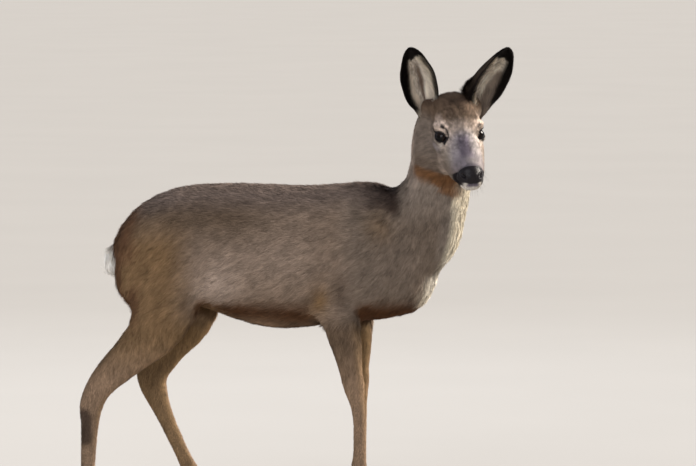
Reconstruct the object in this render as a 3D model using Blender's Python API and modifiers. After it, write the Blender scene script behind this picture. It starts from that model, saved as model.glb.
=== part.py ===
"""A roe deer doe in her winter coat, life size, standing still and looking over her right shoulder.

The whole animal is lofted from a few named rows, joined into one soft body, and parted with thin cuts
into head, nose, neck, trunk and the sections of each leg. Ears, eyes, tail, hooves and dewclaws are shapes
of their own, set against the body with a narrow gap. Sizes in the tables are centimetres, angles are
degrees. +X runs towards the chest, +Y to the doe's left, +Z up from the floor.
"""

import math

import bmesh
import bpy
from mathutils import Matrix, Vector

CM = 0.01
# The width of a cut between two pieces, and the gap round a piece that sits in another.
SEAM = 0.04
SEAT_GAP = 0.04
VOXEL = 0.46
BODY_TRIANGLES = 3600
STEPS_BETWEEN_ROWS = 4
POINTS_AROUND = 28
SECTION_POWER = 2.15
MASS_SEGMENTS = (20, 12)
SHARP_EDGE = 50.0

# The head's own frame: X along the palate towards the nose, Z up, origin midway between the eyes.
HEAD_AT = (34.61, -10.08, 76.1)
HEAD_TURN = -69.0
HEAD_DIP = 21.0
HEAD_ROLL = 3.0
EYE_AT = (0.4, 3.65, 0.0)
EYE_RADIUS = 1.5
EYE_SEGMENTS = (14, 8)

EAR_ROOT = {"left": (-7.0, 5.35, 0.8), "right": (-7.0, 4.6, 0.9)}
# How far each ear leans outward and forward, how far its opening turns outward, and how wide it is spread.
EAR_POSE = {"left": (16.6, 11.5, 26.0, 1.24), "right": (16.0, 5.0, 5.0, 1.0)}
EAR_WALL = 0.36
EAR_COLUMNS = 10
EAR_TRIANGLES = 300

HOOF_LENGTH = 4.2
HOOF_WIDTH = 1.75
HOOF_HEIGHT = 2.7
HOOF_APART = 0.74
HOOF_FORWARD = 0.7
HOOF_POINTS = 12
# The sole's outline: the bulge of its outer side, how much of that lies behind, and the inner side's share.
SOLE_BULGE = (0.9, 0.2, 0.7)
HEEL_DROP = 0.7
# Up a hoof: share of its height, length, width and how far the ring sits back.
HOOF_RINGS = ((0.0, 1.0, 1.0, 0.0), (0.5, 0.92, 0.97, -0.12), (1.0, 0.64, 0.8, -0.7))
DEWCLAW_HALVES = (0.5, 0.42, 0.85)
DEWCLAW_APART = 0.95
DEWCLAW_DROP = 1.3
# A dewclaw's tilt outward and backward.
DEWCLAW_TILT = (14.0, 26.0)
DEWCLAW_SEGMENTS = (6, 5)

TAIL_AT = (-35.1, 0.0, 51.0)
TAIL_HALVES = (1.75, 1.9, 3.3)
TAIL_SWING = 14.0
TAIL_SEGMENTS = (12, 8)

COLOURS = {
    "coat": (0.17, 0.125, 0.085),
    "ear": (0.09, 0.07, 0.055),
    "tail": (0.74, 0.70, 0.63),
    "nose": (0.012, 0.010, 0.011),
    "eye": (0.012, 0.007, 0.005),
    "hoof": (0.022, 0.018, 0.015),
}
ROUGHNESS = {"coat": 0.9, "ear": 0.85, "tail": 0.9, "nose": 0.35, "eye": 0.05, "hoof": 0.4}

# Along the trunk: x, top, bottom, half width, and the height of the widest line as a share of the depth.
TRUNK = (
    (-35.2, 53.6, 49.6, 2.4, 0.55),
    (-34.2, 56.0, 48.2, 4.6, 0.55),
    (-31.8, 59.6, 47.0, 7.2, 0.52),
    (-27.5, 62.9, 45.4, 8.9, 0.50),
    (-22.0, 65.1, 43.6, 9.3, 0.48),
    (-16.5, 65.8, 41.2, 9.2, 0.45),
    (-9.0, 66.0, 38.6, 9.7, 0.43),
    (-3.0, 65.8, 37.5, 10.2, 0.42),
    (4.0, 65.7, 37.8, 10.2, 0.42),
    (10.5, 66.1, 38.8, 9.5, 0.42),
    (16.0, 66.6, 39.1, 8.3, 0.42),
    (21.0, 64.8, 39.8, 7.6, 0.42),
    (25.2, 60.0, 41.0, 6.4, 0.45),
    (27.6, 57.4, 43.4, 4.6, 0.50),
    (29.4, 55.2, 47.4, 2.4, 0.50),
)
# Up the neck: centre x, y, z, half width, half depth to the nape, half depth to the throat, twist.
NECK = (
    (14.0, 0.0, 53.5, 6.4, 10.0, 10.0, 0.0),
    (20.0, 0.0, 55.0, 6.6, 9.6, 10.4, -3.0),
    (25.0, -0.5, 58.8, 6.3, 8.0, 10.2, -12.0),
    (28.5, -1.4, 64.2, 5.9, 6.3, 7.6, -26.0),
    (29.9, -2.3, 69.4, 5.8, 5.8, 6.5, -42.0),
    (30.5, -2.8, 74.2, 6.0, 5.6, 5.8, -56.0),
    (31.2, -3.2, 78.0, 5.8, 4.8, 4.8, -64.0),
    (32.0, -3.8, 80.8, 4.4, 3.6, 3.6, -66.0),
)
# Along the head, in its own frame: x, top, bottom, half width, and how much wider its upper half is.
SKULL = (
    (-9.6, 3.6, -1.6, 2.6, 0.0),
    (-8.6, 5.2, -3.8, 4.2, 0.0),
    (-6.6, 6.1, -6.0, 4.7, 0.02),
    (-4.2, 6.1, -7.6, 4.9, 0.06),
    (-1.8, 5.5, -8.1, 4.75, 0.12),
    (0.6, 4.3, -7.9, 4.5, 0.04),
    (2.8, 2.7, -7.3, 4.25, -0.16),
    (5.0, 1.1, -6.8, 3.85, -0.20),
    (7.2, -0.2, -6.6, 3.4, -0.16),
    (9.2, -1.1, -6.7, 2.85, -0.10),
    (10.8, -1.7, -6.8, 2.45, -0.06),
    (11.8, -2.4, -6.5, 2.0, -0.06),
    (12.4, -3.4, -5.4, 1.1, 0.0),
)
# Soft masses over the trunk, for both sides: centre, half sizes, turn about Y.
FLESH = (
    ("shoulder", (17.4, -4.6, 55.0), (5.6, 3.3, 9.0), 20.0),
    ("upper_arm", (17.0, -5.4, 46.8), (6.6, 3.0, 4.8), -38.0),
    ("elbow", (10.8, -5.5, 43.4), (3.6, 2.4, 4.2), 0.0),
    ("haunch", (-24.0, -4.8, 54.0), (9.0, 4.4, 8.6), 15.0),
    ("buttock", (-30.0, -4.6, 49.4), (4.2, 3.5, 7.2), 12.0),
    ("flank", (-11.5, -6.2, 46.5), (6.4, 3.2, 5.4), 0.0),
)
# Masses of the face, in the head's frame, for both sides: centre, half sizes.
FACE = (
    ("brow", (-0.4, -3.4, 1.6), (2.2, 1.55, 1.3)),
    ("cheek", (-3.6, -3.1, -3.6), (3.4, 1.9, 3.3)),
    ("under_eye", (1.3, -2.8, -1.7), (2.4, 1.25, 1.4)),
    ("nostril_wing", (10.9, -1.05, -3.7), (1.2, 1.0, 1.1)),
    ("upper_lip", (9.4, -1.6, -5.1), (2.3, 1.1, 1.0)),
    ("lip_corner", (6.6, -2.2, -5.0), (2.6, 1.15, 1.3)),
    ("jaw", (-0.6, -2.45, -5.9), (4.8, 1.7, 1.9)),
    ("ear_root", (-7.4, -4.3, 2.0), (2.1, 2.0, 2.7)),
)
# Down each leg: x, y, z, half width, half depth behind, half depth in front. Its last row carries the hooves.
LEGS = {
    "foreleg_right": (
        (9.8, -5.6, 46.0, 2.8, 3.6, 3.6),
        (10.9, -5.9, 40.4, 2.75, 4.0, 3.9),
        (12.1, -5.8, 34.3, 2.35, 3.0, 3.0),
        (12.9, -5.6, 29.6, 1.95, 2.35, 2.3),
        (13.5, -5.5, 26.4, 1.95, 2.15, 2.15),
        (14.1, -5.4, 23.2, 1.45, 1.55, 1.55),
        (14.5, -5.3, 19.5, 1.22, 1.38, 1.38),
        (14.6, -5.2, 12.5, 1.22, 1.38, 1.38),
        (14.6, -5.1, 8.6, 1.6, 1.8, 1.7),
        (15.4, -5.1, 5.4, 1.4, 1.35, 1.4),
        (16.1, -5.1, 3.6, 1.7, 1.6, 1.7),
        (16.4, -5.1, 1.9, 1.95, 1.9, 1.95),
    ),
    "foreleg_left": (
        (9.9, 5.6, 46.0, 2.8, 3.6, 4.0),
        (11.3, 5.9, 40.4, 2.75, 4.0, 4.7),
        (12.4, 5.8, 34.3, 2.35, 3.1, 3.1),
        (12.7, 5.6, 29.6, 1.95, 2.35, 2.3),
        (12.9, 5.4, 26.4, 1.95, 2.15, 2.15),
        (13.2, 5.2, 23.2, 1.45, 1.55, 1.55),
        (13.3, 5.0, 19.5, 1.22, 1.38, 1.38),
        (13.2, 4.7, 12.5, 1.22, 1.38, 1.38),
        (13.1, 4.6, 8.6, 1.6, 1.8, 1.7),
        (13.9, 4.6, 5.4, 1.4, 1.35, 1.4),
        (14.6, 4.6, 3.6, 1.7, 1.6, 1.7),
        (14.9, 4.6, 1.9, 1.95, 1.9, 1.95),
    ),
    "hindleg_right": (
        (-21.4, -5.4, 48.6, 3.6, 8.4, 6.8),
        (-23.0, -6.3, 42.6, 3.7, 8.0, 6.2),
        (-26.0, -6.7, 37.2, 3.3, 5.4, 5.4),
        (-30.2, -6.6, 33.0, 2.75, 3.8, 4.2),
        (-34.2, -6.3, 29.2, 2.2, 3.2, 3.5),
        (-36.9, -6.0, 25.6, 1.9, 2.9, 2.5),
        (-38.4, -5.8, 22.0, 1.85, 2.75, 2.1),
        (-38.9, -5.7, 18.4, 1.5, 2.0, 1.85),
        (-39.2, -5.5, 14.0, 1.3, 1.75, 1.6),
        (-39.4, -5.4, 9.6, 1.35, 1.6, 1.55),
        (-39.3, -5.3, 7.2, 1.6, 1.85, 1.7),
        (-38.4, -5.3, 4.7, 1.4, 1.4, 1.4),
        (-37.8, -5.3, 3.4, 1.7, 1.6, 1.7),
        (-37.5, -5.3, 1.9, 1.95, 1.9, 1.95),
    ),
    "hindleg_left": (
        (-20.3, 5.4, 48.6, 3.6, 8.4, 7.0),
        (-20.9, 6.3, 42.6, 3.7, 7.6, 6.6),
        (-22.2, 6.7, 37.8, 3.3, 5.4, 5.2),
        (-25.3, 6.6, 33.2, 2.75, 4.8, 3.9),
        (-27.4, 6.3, 29.2, 2.2, 4.5, 3.1),
        (-27.8, 6.0, 26.4, 1.9, 3.9, 2.2),
        (-27.2, 5.8, 23.6, 1.85, 3.1, 1.8),
        (-25.8, 5.6, 19.8, 1.5, 2.3, 1.4),
        (-23.8, 5.4, 15.2, 1.3, 1.9, 1.35),
        (-21.8, 5.2, 10.8, 1.35, 1.7, 1.4),
        (-20.5, 5.2, 8.0, 1.6, 1.85, 1.7),
        (-19.0, 5.2, 5.0, 1.4, 1.4, 1.4),
        (-18.3, 5.2, 3.5, 1.7, 1.6, 1.7),
        (-18.0, 5.2, 1.9, 1.95, 1.9, 1.95),
    ),
}
FETLOCK_ROW = -4
# How often the points are relaxed: all over, above the legs, and once more over trunk and lower neck.
ROUNDS_ALL_OVER = 4
ROUNDS_ABOVE_LEGS = 10
ROUNDS_TRUNK = 14
# The face starts here: x in the head's frame, y and z over the floor.
FACE_FROM = (-5.0, -2.0, 62.0)
LEGS_TO = 36.0
# The trunk's softened part: from this height to that, and behind this y.
TRUNK_REACH = (37.0, 73.0, -12.0)

# The cuts across a leg, from the top: the piece below each cut, its height and its lean about Y.
LEG_CUTS = {
    "foreleg_right": (("forearm", 37.9, 0.0), ("cannon", 24.4, 0.0), ("pastern", 10.6, 0.0)),
    "foreleg_left": (("forearm", 37.9, 0.0), ("cannon", 24.4, 0.0), ("pastern", 10.6, 0.0)),
    "hindleg_right": (("gaskin", 34.6, 42.0), ("cannon", 21.0, 0.0), ("pastern", 9.4, 0.0)),
    "hindleg_left": (("gaskin", 34.8, 34.0), ("cannon", 22.6, -18.0), ("pastern", 10.2, -20.0)),
}
# One leaning cut under the belly parts both thighs from the trunk: height at the given x, and lean.
THIGH_CUT = (-25.0, 43.6, 20.5)
NECK_CUT = ((25.5, 57.0), 50.0)
HEAD_CUT = ((-6.1, -4.0), -43.0)
# Length and width of the cutting slabs. A leg's slab stops short of the other leg by its spare width.
LEG_SLAB_LENGTH = 16.0
LEG_SLAB_SPARE = 1.0
THIGH_SLAB = (30.0, 30.0)
NECK_SLAB = (40.0, 34.0)
HEAD_SLAB = (23.0, 17.0)
# The rim of the nose pad seen from the side, in the head's frame: x, z. Its cut is this wide to each side.
NOSE_RIM = ((9.6, 1.0), (10.1, -2.6), (10.9, -4.9), (14.5, -5.5))
NOSE_CUT_HALF = 4.0

# Points near the middle of the largest pieces, and how far a thigh's lies below the second row of its leg.
HEAD_LABEL = (34.7, -7.5, 76.1)
NECK_LABEL = (27.5, -1.0, 65.0)
TRUNK_LABEL = (-3.0, 0.0, 52.0)
THIGH_LABEL_DROP = 2.5

# Up each ear: height, half width, and how far its middle lies behind its edges.
EAR = (
    (0.0, 1.3, 1.7),
    (2.4, 2.1, 2.9),
    (4.0, 2.8, 3.4),
    (6.0, 3.25, 3.5),
    (8.5, 3.3, 3.1),
    (10.8, 3.0, 2.4),
    (12.8, 2.4, 1.6),
    (14.4, 1.7, 1.0),
    (15.5, 1.0, 0.6),
    (16.1, 0.4, 0.3),
)


def clear_scene():
    for obj in list(bpy.data.objects):
        bpy.data.objects.remove(obj)


def new_collection(name):
    made = bpy.data.collections.new(name)
    bpy.context.scene.collection.children.link(made)
    return made


def surface(name, kind):
    """A material of the node's own, in the colour and roughness of its kind."""
    made = bpy.data.materials.new(name)
    made.use_nodes = True
    shader = made.node_tree.nodes["Principled BSDF"]
    shader.inputs["Base Color"].default_value = (*COLOURS[kind], 1.0)
    shader.inputs["Roughness"].default_value = ROUGHNESS[kind]
    shader.inputs["Metallic"].default_value = 0.0
    return made


def turned(degrees, axis):
    return Matrix.Rotation(math.radians(degrees), 4, axis)


def moved(place):
    return Matrix.Translation(Vector(place) * CM)


def scaled(sizes):
    return Matrix.Diagonal((*(size * CM for size in sizes), 1.0))


def other_side(place, side):
    return (place[0], place[1] * side, place[2])


def head_frame():
    """Head to world: roll, dip the nose, turn to the doe's right, then move to the midpoint of the eyes."""
    return moved(HEAD_AT) @ turned(HEAD_TURN, "Z") @ turned(HEAD_DIP, "Y") @ turned(HEAD_ROLL, "X")


def mesh_object(bm, matrix=None, name="shape"):
    """A new object in the cutters' collection, from a bmesh, with the place put into its points."""
    if matrix is not None:
        bmesh.ops.transform(bm, matrix=matrix, verts=bm.verts)
    mesh = bpy.data.meshes.new(name)
    bm.to_mesh(mesh)
    bm.free()
    made = bpy.data.objects.new(name, mesh)
    bpy.data.collections["cutters"].objects.link(made)
    return made


def applied(obj):
    """Bakes the object's modifiers into its mesh."""
    graph = bpy.context.evaluated_depsgraph_get()
    mesh = bpy.data.meshes.new_from_object(obj.evaluated_get(graph), depsgraph=graph)
    obj.modifiers.clear()
    obj.data = mesh
    return obj


def outward_faces(obj):
    """Turns every face of a closed mesh outwards."""
    bm = bmesh.new()
    bm.from_mesh(obj.data)
    bmesh.ops.recalc_face_normals(bm, faces=bm.faces)
    bm.to_mesh(obj.data)
    bm.free()
    return obj


def joined(objects):
    """One object that holds the meshes of all of these, which are removed."""
    bm = bmesh.new()
    for obj in objects:
        bm.from_mesh(obj.data)
        bpy.data.objects.remove(obj)
    return mesh_object(bm)


def less(obj, cutters):
    """Takes the cutters away from the object."""
    for cutter in cutters:
        cut = obj.modifiers.new("cut", "BOOLEAN")
        cut.operation = "DIFFERENCE"
        cut.solver = "EXACT"
        cut.object = cutter
    return applied(obj)


def smooth_rows(rows):
    """Catmull-Rom through every column of the rows, with a few steps from each row to the next."""
    rows = [Vector(row) for row in rows]
    ends = [2 * rows[0] - rows[1], *rows, 2 * rows[-1] - rows[-2]]
    found = []
    for a, b, c, d in zip(ends, ends[1:], ends[2:], ends[3:]):
        for step in range(STEPS_BETWEEN_ROWS):
            t = step / STEPS_BETWEEN_ROWS
            bend = (2 * a - 5 * b + 4 * c - d) * t**2 + (3 * b - a - 3 * c + d) * t**3
            found.append(0.5 * (2 * b + (c - a) * t + bend))
    return [*found, rows[-1]]


def loft(sections, matrix=None):
    """A closed tube through sections of (centre, side, half width, up, half above, half below, upper extra).

    Each section is a superellipse: cosine and sine raised to two over its power. The upper extra widens the
    section towards its top and narrows it towards its bottom.
    """
    bm = bmesh.new()
    rings = []
    for centre, side, width, up, above, below, extra in sections:
        ring = []
        for k in range(POINTS_AROUND):
            angle = 2 * math.pi * k / POINTS_AROUND
            across = math.copysign(abs(math.cos(angle)) ** (2 / SECTION_POWER), math.cos(angle))
            along = math.copysign(abs(math.sin(angle)) ** (2 / SECTION_POWER), math.sin(angle))
            reach = above if along > 0 else below
            place = centre + side * (width * across * (1 + extra * along)) + up * (reach * along)
            ring.append(bm.verts.new(place * CM))
        rings.append(ring)
    skin_between(bm, rings)
    return mesh_object(bm, matrix)


def skin_between(bm, rings):
    """Faces from ring to ring, a cap at each end, all pointing out."""
    for first, second in zip(rings, rings[1:]):
        for k in range(len(first)):
            bm.faces.new((first[k - 1], first[k], second[k], second[k - 1]))
    bm.faces.new(rings[0])
    bm.faces.new(reversed(rings[-1]))
    bmesh.ops.recalc_face_normals(bm, faces=bm.faces)


def level_loft(rows, matrix=None, widest_given=False):
    """A loft along X. The rows' last number is the widest line's height share, or else the upper extra."""
    sections = []
    for x, top, bottom, width, last in smooth_rows(rows):
        share = last if widest_given else 0.5
        extra = 0.0 if widest_given else last
        middle = bottom + (top - bottom) * share
        centre = Vector((x, 0, middle))
        side, up = Vector((0, 1, 0)), Vector((0, 0, 1))
        sections.append((centre, side, width, up, top - middle, middle - bottom, extra))
    return loft(sections, matrix)


def bent_loft(rows):
    """A loft along a bent path, each section square to it.

    Rows are x, y, z, half width, half depth on the side of travel cross width, half depth on the other side
    and, where there is one, the section's twist about Z.
    """
    rows = smooth_rows(rows)
    places = [Vector(row[:3]) for row in rows]
    sections = []
    for index, row in enumerate(rows):
        along = places[min(index + 1, len(rows) - 1)] - places[max(index - 1, 0)]
        twist = row[6] if len(row) > 6 else 0.0
        side = turned(twist, "Z").to_3x3() @ Vector((0, 1, 0))
        depth = along.cross(side).normalized()
        side = depth.cross(along).normalized()
        sections.append((places[index], side, row[3], depth, row[4], row[5], 0.0))
    return loft(sections)


def ball(segments, matrix):
    """A ball of radius one, put into its place and shape by the matrix."""
    around, rings = segments
    bm = bmesh.new()
    bmesh.ops.create_uvsphere(bm, u_segments=around, v_segments=rings, radius=1.0)
    return mesh_object(bm, matrix)


def smoothed(obj, rounds, chosen):
    """Relaxes the chosen vertices, so that forms run into each other."""
    bm = bmesh.new()
    bm.from_mesh(obj.data)
    verts = [v for v in bm.verts if chosen(v.co / CM)]
    for _ in range(rounds):
        bmesh.ops.smooth_vert(bm, verts=verts, factor=0.5, use_axis_x=True, use_axis_y=True, use_axis_z=True)
    bm.to_mesh(obj.data)
    bm.free()


def on_face(place):
    """Whether a point of the body, in centimetres, belongs to the face, which keeps its sharper forms."""
    in_head = head_frame().inverted() @ (place * CM)
    return place.z > FACE_FROM[2] and place.y < FACE_FROM[1] and in_head.x / CM > FACE_FROM[0]


def soft_above_legs(place):
    return place.z > LEGS_TO and not on_face(place)


def soft_trunk(place):
    low, high, front = TRUNK_REACH
    return low < place.z < high and place.y > front and not on_face(place)


def whole_body():
    """Trunk, neck, head and legs as one closed skin."""
    to_head = head_frame()
    shapes = [level_loft(TRUNK, widest_given=True), bent_loft(NECK), level_loft(SKULL, to_head)]
    for side in (1, -1):
        for _, centre, halves, turn in FLESH:
            place = moved(other_side(centre, side)) @ turned(turn, "Y")
            shapes.append(ball(MASS_SEGMENTS, place @ scaled(halves)))
        for _, centre, halves in FACE:
            place = to_head @ moved(other_side(centre, side))
            shapes.append(ball(MASS_SEGMENTS, place @ scaled(halves)))
    for rows in LEGS.values():
        shapes.append(bent_loft([(x, y, z, width, front, back) for x, y, z, width, back, front in rows]))
    body = joined(shapes)
    remesh = body.modifiers.new("one skin", "REMESH")
    remesh.mode = "VOXEL"
    remesh.voxel_size = VOXEL * CM
    applied(body)

    smoothed(body, ROUNDS_ALL_OVER, lambda place: True)
    smoothed(body, ROUNDS_ABOVE_LEGS, soft_above_legs)
    smoothed(body, ROUNDS_TRUNK, soft_trunk)
    fewer = body.modifiers.new("fewer faces", "DECIMATE")
    fewer.ratio = BODY_TRIANGLES / sum(len(face.vertices) - 2 for face in body.data.polygons)
    return applied(body)


def slab(matrix, size):
    """A thin box that parts the pieces on its two sides."""
    bm = bmesh.new()
    bmesh.ops.create_cube(bm, size=1.0)
    return mesh_object(bm, matrix @ scaled((*size, SEAM)))


def seams():
    """The thin cuts of the body: across each leg, under the rump, and at both ends of the neck."""
    made = []
    for leg, cuts in LEG_CUTS.items():
        rows = smooth_rows(LEGS[leg])
        for _, height, lean in cuts:
            row = min(rows, key=lambda r: abs(r[2] - height))
            size = (LEG_SLAB_LENGTH, 2 * abs(row[1]) - LEG_SLAB_SPARE)
            made.append(slab(moved((row[0], row[1], height)) @ turned(lean, "Y"), size))
    x, height, lean = THIGH_CUT
    made.append(slab(moved((x, 0, height)) @ turned(lean, "Y"), THIGH_SLAB))
    (x, height), lean = NECK_CUT
    made.append(slab(moved((x, 0, height)) @ turned(lean, "Y"), NECK_SLAB))
    (x, height), lean = HEAD_CUT
    made.append(slab(head_frame() @ moved((x, 0, height)) @ turned(90 + lean, "Y"), HEAD_SLAB))
    return made


def nose_seam():
    """A bent sheet round the nose pad, of the seam's thickness."""
    bm = bmesh.new()
    sides = (-NOSE_CUT_HALF, NOSE_CUT_HALF)
    edges = [[bm.verts.new(Vector((x, y, z)) * CM) for x, z in NOSE_RIM] for y in sides]
    for k in range(len(NOSE_RIM) - 1):
        bm.faces.new((edges[0][k], edges[0][k + 1], edges[1][k + 1], edges[1][k]))
    made = mesh_object(bm, head_frame())
    wall = made.modifiers.new("seam", "SOLIDIFY")
    wall.thickness = SEAM * CM
    wall.offset = 0.0
    return outward_faces(applied(made))


def loose_bodies(obj):
    """Each loose body of an object as its own object, the largest first."""
    bm = bmesh.new()
    bm.from_mesh(obj.data)
    bm.verts.ensure_lookup_table()
    waiting, islands = set(range(len(bm.verts))), []
    while waiting:
        front, island = [min(waiting)], set()
        while front:
            index = front.pop()
            if index not in waiting:
                continue
            waiting.remove(index)
            island.add(index)
            front.extend(edge.other_vert(bm.verts[index]).index for edge in bm.verts[index].link_edges)
        islands.append(island)
    made = []
    for island in sorted(islands, key=len, reverse=True):
        part = bmesh.new()
        twins = {index: part.verts.new(bm.verts[index].co) for index in sorted(island)}
        for face in bm.faces:
            if face.verts[0].index in island:
                part.faces.new([twins[v.index] for v in face.verts])
        made.append(mesh_object(part))
    bm.free()
    bpy.data.objects.remove(obj)
    return made


def middle(obj):
    """The mean of an object's points, in centimetres."""
    return sum((v.co for v in obj.data.vertices), Vector()) / len(obj.data.vertices) / CM


def body_labels():
    """A point near the middle of every piece that the seams leave."""
    labels = {
        "head": Vector(HEAD_LABEL),
        "neck": Vector(NECK_LABEL),
        "trunk": Vector(TRUNK_LABEL),
    }
    for leg, cuts in LEG_CUTS.items():
        rows = smooth_rows(LEGS[leg])
        levels = [height for _, height, _ in cuts] + [rows[-1][2]]
        for (piece, top, _), bottom in zip(cuts, levels[1:]):
            row = min(rows, key=lambda r: abs(r[2] - (top + bottom) / 2))
            labels[f"{leg}_{piece}"] = Vector(row[:3])
    for leg in ("hindleg_right", "hindleg_left"):
        labels[f"{leg}_thigh"] = Vector(LEGS[leg][1][:3]) - Vector((0, 0, THIGH_LABEL_DROP))
    return labels


def body_pieces():
    """Cuts the body along its seams and names every piece by the label nearest to it."""
    pieces = loose_bodies(less(whole_body(), seams()))
    named = {}
    for name, place in body_labels().items():
        nearest = min(pieces, key=lambda piece: (middle(piece) - place).length)
        pieces.remove(nearest)
        named[name] = nearest
    if pieces:
        raise RuntimeError(f"{len(pieces)} pieces of the body have no name")
    front_and_back = loose_bodies(less(named.pop("head"), [nose_seam()]))[:2]
    named["nose"], named["head"] = sorted(front_and_back, key=lambda piece: middle(piece).y)
    return named


def ear(label, side):
    """A leaf-shaped cup: arcs across it, deeper at the root, whose half widths follow the table."""
    outward, forward, opening, spread = EAR_POSE[label]
    bm = bmesh.new()
    lines = []
    for height, width, depth in smooth_rows(EAR):
        line = []
        for column in range(EAR_COLUMNS + 1):
            angle = math.pi * (column / EAR_COLUMNS - 0.5)
            across = spread * width * math.sin(angle) * side
            line.append(bm.verts.new(Vector((-depth * math.cos(angle), across, height)) * CM))
        lines.append(line)
    for low, high in zip(lines, lines[1:]):
        for k in range(EAR_COLUMNS):
            bm.faces.new((low[k], low[k + 1], high[k + 1], high[k]))
    lean = turned(-outward * side, "X") @ turned(forward, "Y") @ turned(opening * side, "Z")
    made = mesh_object(bm, head_frame() @ moved(other_side(EAR_ROOT[label], side)) @ lean)
    wall = made.modifiers.new("wall", "SOLIDIFY")
    wall.thickness = EAR_WALL * CM
    wall.offset = 0.0
    fewer = made.modifiers.new("fewer faces", "DECIMATE")
    fewer.ratio = EAR_TRIANGLES / (4 * EAR_COLUMNS * (len(lines) - 1))
    return outward_faces(applied(made))


def hoof(place, side):
    """One claw: a flat almond sole, straighter on its inner side, under a smaller coronet further back."""
    bm = bmesh.new()
    rings = []
    outer, behind, inner = SOLE_BULGE
    for share, length, width, back in HOOF_RINGS:
        ring = []
        for k in range(HOOF_POINTS):
            angle = 2 * math.pi * k / HOOF_POINTS
            bulge = math.sin(angle) * (outer - behind * math.cos(angle))
            y = HOOF_WIDTH / 2 * width * (bulge if bulge > 0 else inner * bulge)
            drop = HEEL_DROP * share * max(0.0, -math.cos(angle))
            x = HOOF_LENGTH / 2 * length * math.cos(angle) + back
            ring.append(bm.verts.new(Vector((x, y * side, HOOF_HEIGHT * share - drop)) * CM))
        rings.append(ring)
    skin_between(bm, rings)
    bmesh.ops.triangulate(bm, faces=bm.faces)
    return mesh_object(bm, moved(place))


def dewclaw(place, side):
    """A small blunt claw behind the fetlock."""
    outward, backward = DEWCLAW_TILT
    lean = turned(outward * side, "X") @ turned(backward, "Y")
    return ball(DEWCLAW_SEGMENTS, moved(place) @ lean @ scaled(DEWCLAW_HALVES))


def seat(obj):
    """A copy grown by the gap along its normals, to cut a seat for the original."""
    bm = bmesh.new()
    bm.from_mesh(obj.data)
    bm.normal_update()
    steps = [vert.normal * (SEAT_GAP * CM * vert.calc_shell_factor()) for vert in bm.verts]
    for vert, step in zip(bm.verts, steps):
        vert.co += step
    return mesh_object(bm)


def fitted_pieces(body):
    """Ears, eyes, tail, hooves and dewclaws, each with a seat cut for it."""
    made = {}
    to_head = head_frame()
    head_seat = seat(body["head"])
    for label, side in (("left", 1), ("right", -1)):
        made[f"ear_{label}"] = loose_bodies(less(ear(label, side), [head_seat, seat(body["neck"])]))[0]
        place = to_head @ moved(other_side(EYE_AT, side)) @ scaled([EYE_RADIUS] * 3)
        made[f"eye_{label}"] = ball(EYE_SEGMENTS, place)
    less(body["head"], [seat(made["eye_left"]), seat(made["eye_right"])])

    made["tail"] = ball(TAIL_SEGMENTS, moved(TAIL_AT) @ turned(TAIL_SWING, "Y") @ scaled(TAIL_HALVES))
    less(body["trunk"], [seat(made["tail"])])

    for leg, rows in LEGS.items():
        foot, fetlock = rows[-1], rows[FETLOCK_ROW]
        claws = {}
        for label, side in (("left", 1), ("right", -1)):
            under = (foot[0] + HOOF_FORWARD, foot[1] + side * HOOF_APART, 0.0)
            claws[f"{leg}_hoof_{label}"] = hoof(under, side)
            behind = (fetlock[0] - fetlock[4], fetlock[1] + side * DEWCLAW_APART, fetlock[2] - DEWCLAW_DROP)
            claws[f"{leg}_dewclaw_{label}"] = dewclaw(behind, side)
        pastern = less(body[f"{leg}_pastern"], [seat(claw) for claw in claws.values()])
        body[f"{leg}_pastern"] = loose_bodies(pastern)[0]
        made.update(claws)
    return made


def kind_of(name):
    for kind in ("hoof", "eye", "ear", "tail", "nose"):
        if name.startswith(kind) or f"_{kind}" in name or (kind == "hoof" and "dewclaw" in name):
            return kind
    return "coat"


def stand(pieces):
    """Puts the pieces under one empty, each with its origin at its own middle, over the floor's centre."""
    points = [v.co for obj in pieces.values() for v in obj.data.vertices]
    low = Vector([min(p[axis] for p in points) for axis in range(3)])
    high = Vector([max(p[axis] for p in points) for axis in range(3)])
    centre = Vector(((low.x + high.x) / 2, (low.y + high.y) / 2, low.z))
    model = bpy.data.collections["roe_deer"]
    root = bpy.data.objects.new("roe_deer_root", None)
    model.objects.link(root)
    for name, obj in sorted(pieces.items()):
        own = middle(obj) * CM
        obj.data.transform(Matrix.Translation(-own))
        obj.location = own - centre
        obj.name = name
        obj.data.name = name
        obj.parent = root
        obj.data.materials.clear()
        obj.data.materials.append(surface(name, kind_of(name)))
        bpy.data.collections["cutters"].objects.unlink(obj)
        model.objects.link(obj)
        obj.data.shade_smooth()
        obj.data.set_sharp_from_angle(angle=math.radians(SHARP_EDGE))


def put_cutters_away():
    for obj in bpy.data.collections["cutters"].objects:
        obj.hide_render = True
        obj.display_type = "WIRE"


def main():
    clear_scene()
    new_collection("roe_deer")
    new_collection("cutters")
    pieces = body_pieces()
    pieces.update(fitted_pieces(pieces))
    stand(pieces)
    put_cutters_away()


main()
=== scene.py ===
"""Dresses the solids of a standing roe deer doe: skin, eyes, nose, ears, claws and a winter coat of tufts."""

import math

import bmesh
import bpy
import numpy as np
from bpy.props import FloatProperty, FloatVectorProperty, IntProperty, PointerProperty
from mathutils import Matrix, Vector


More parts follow.
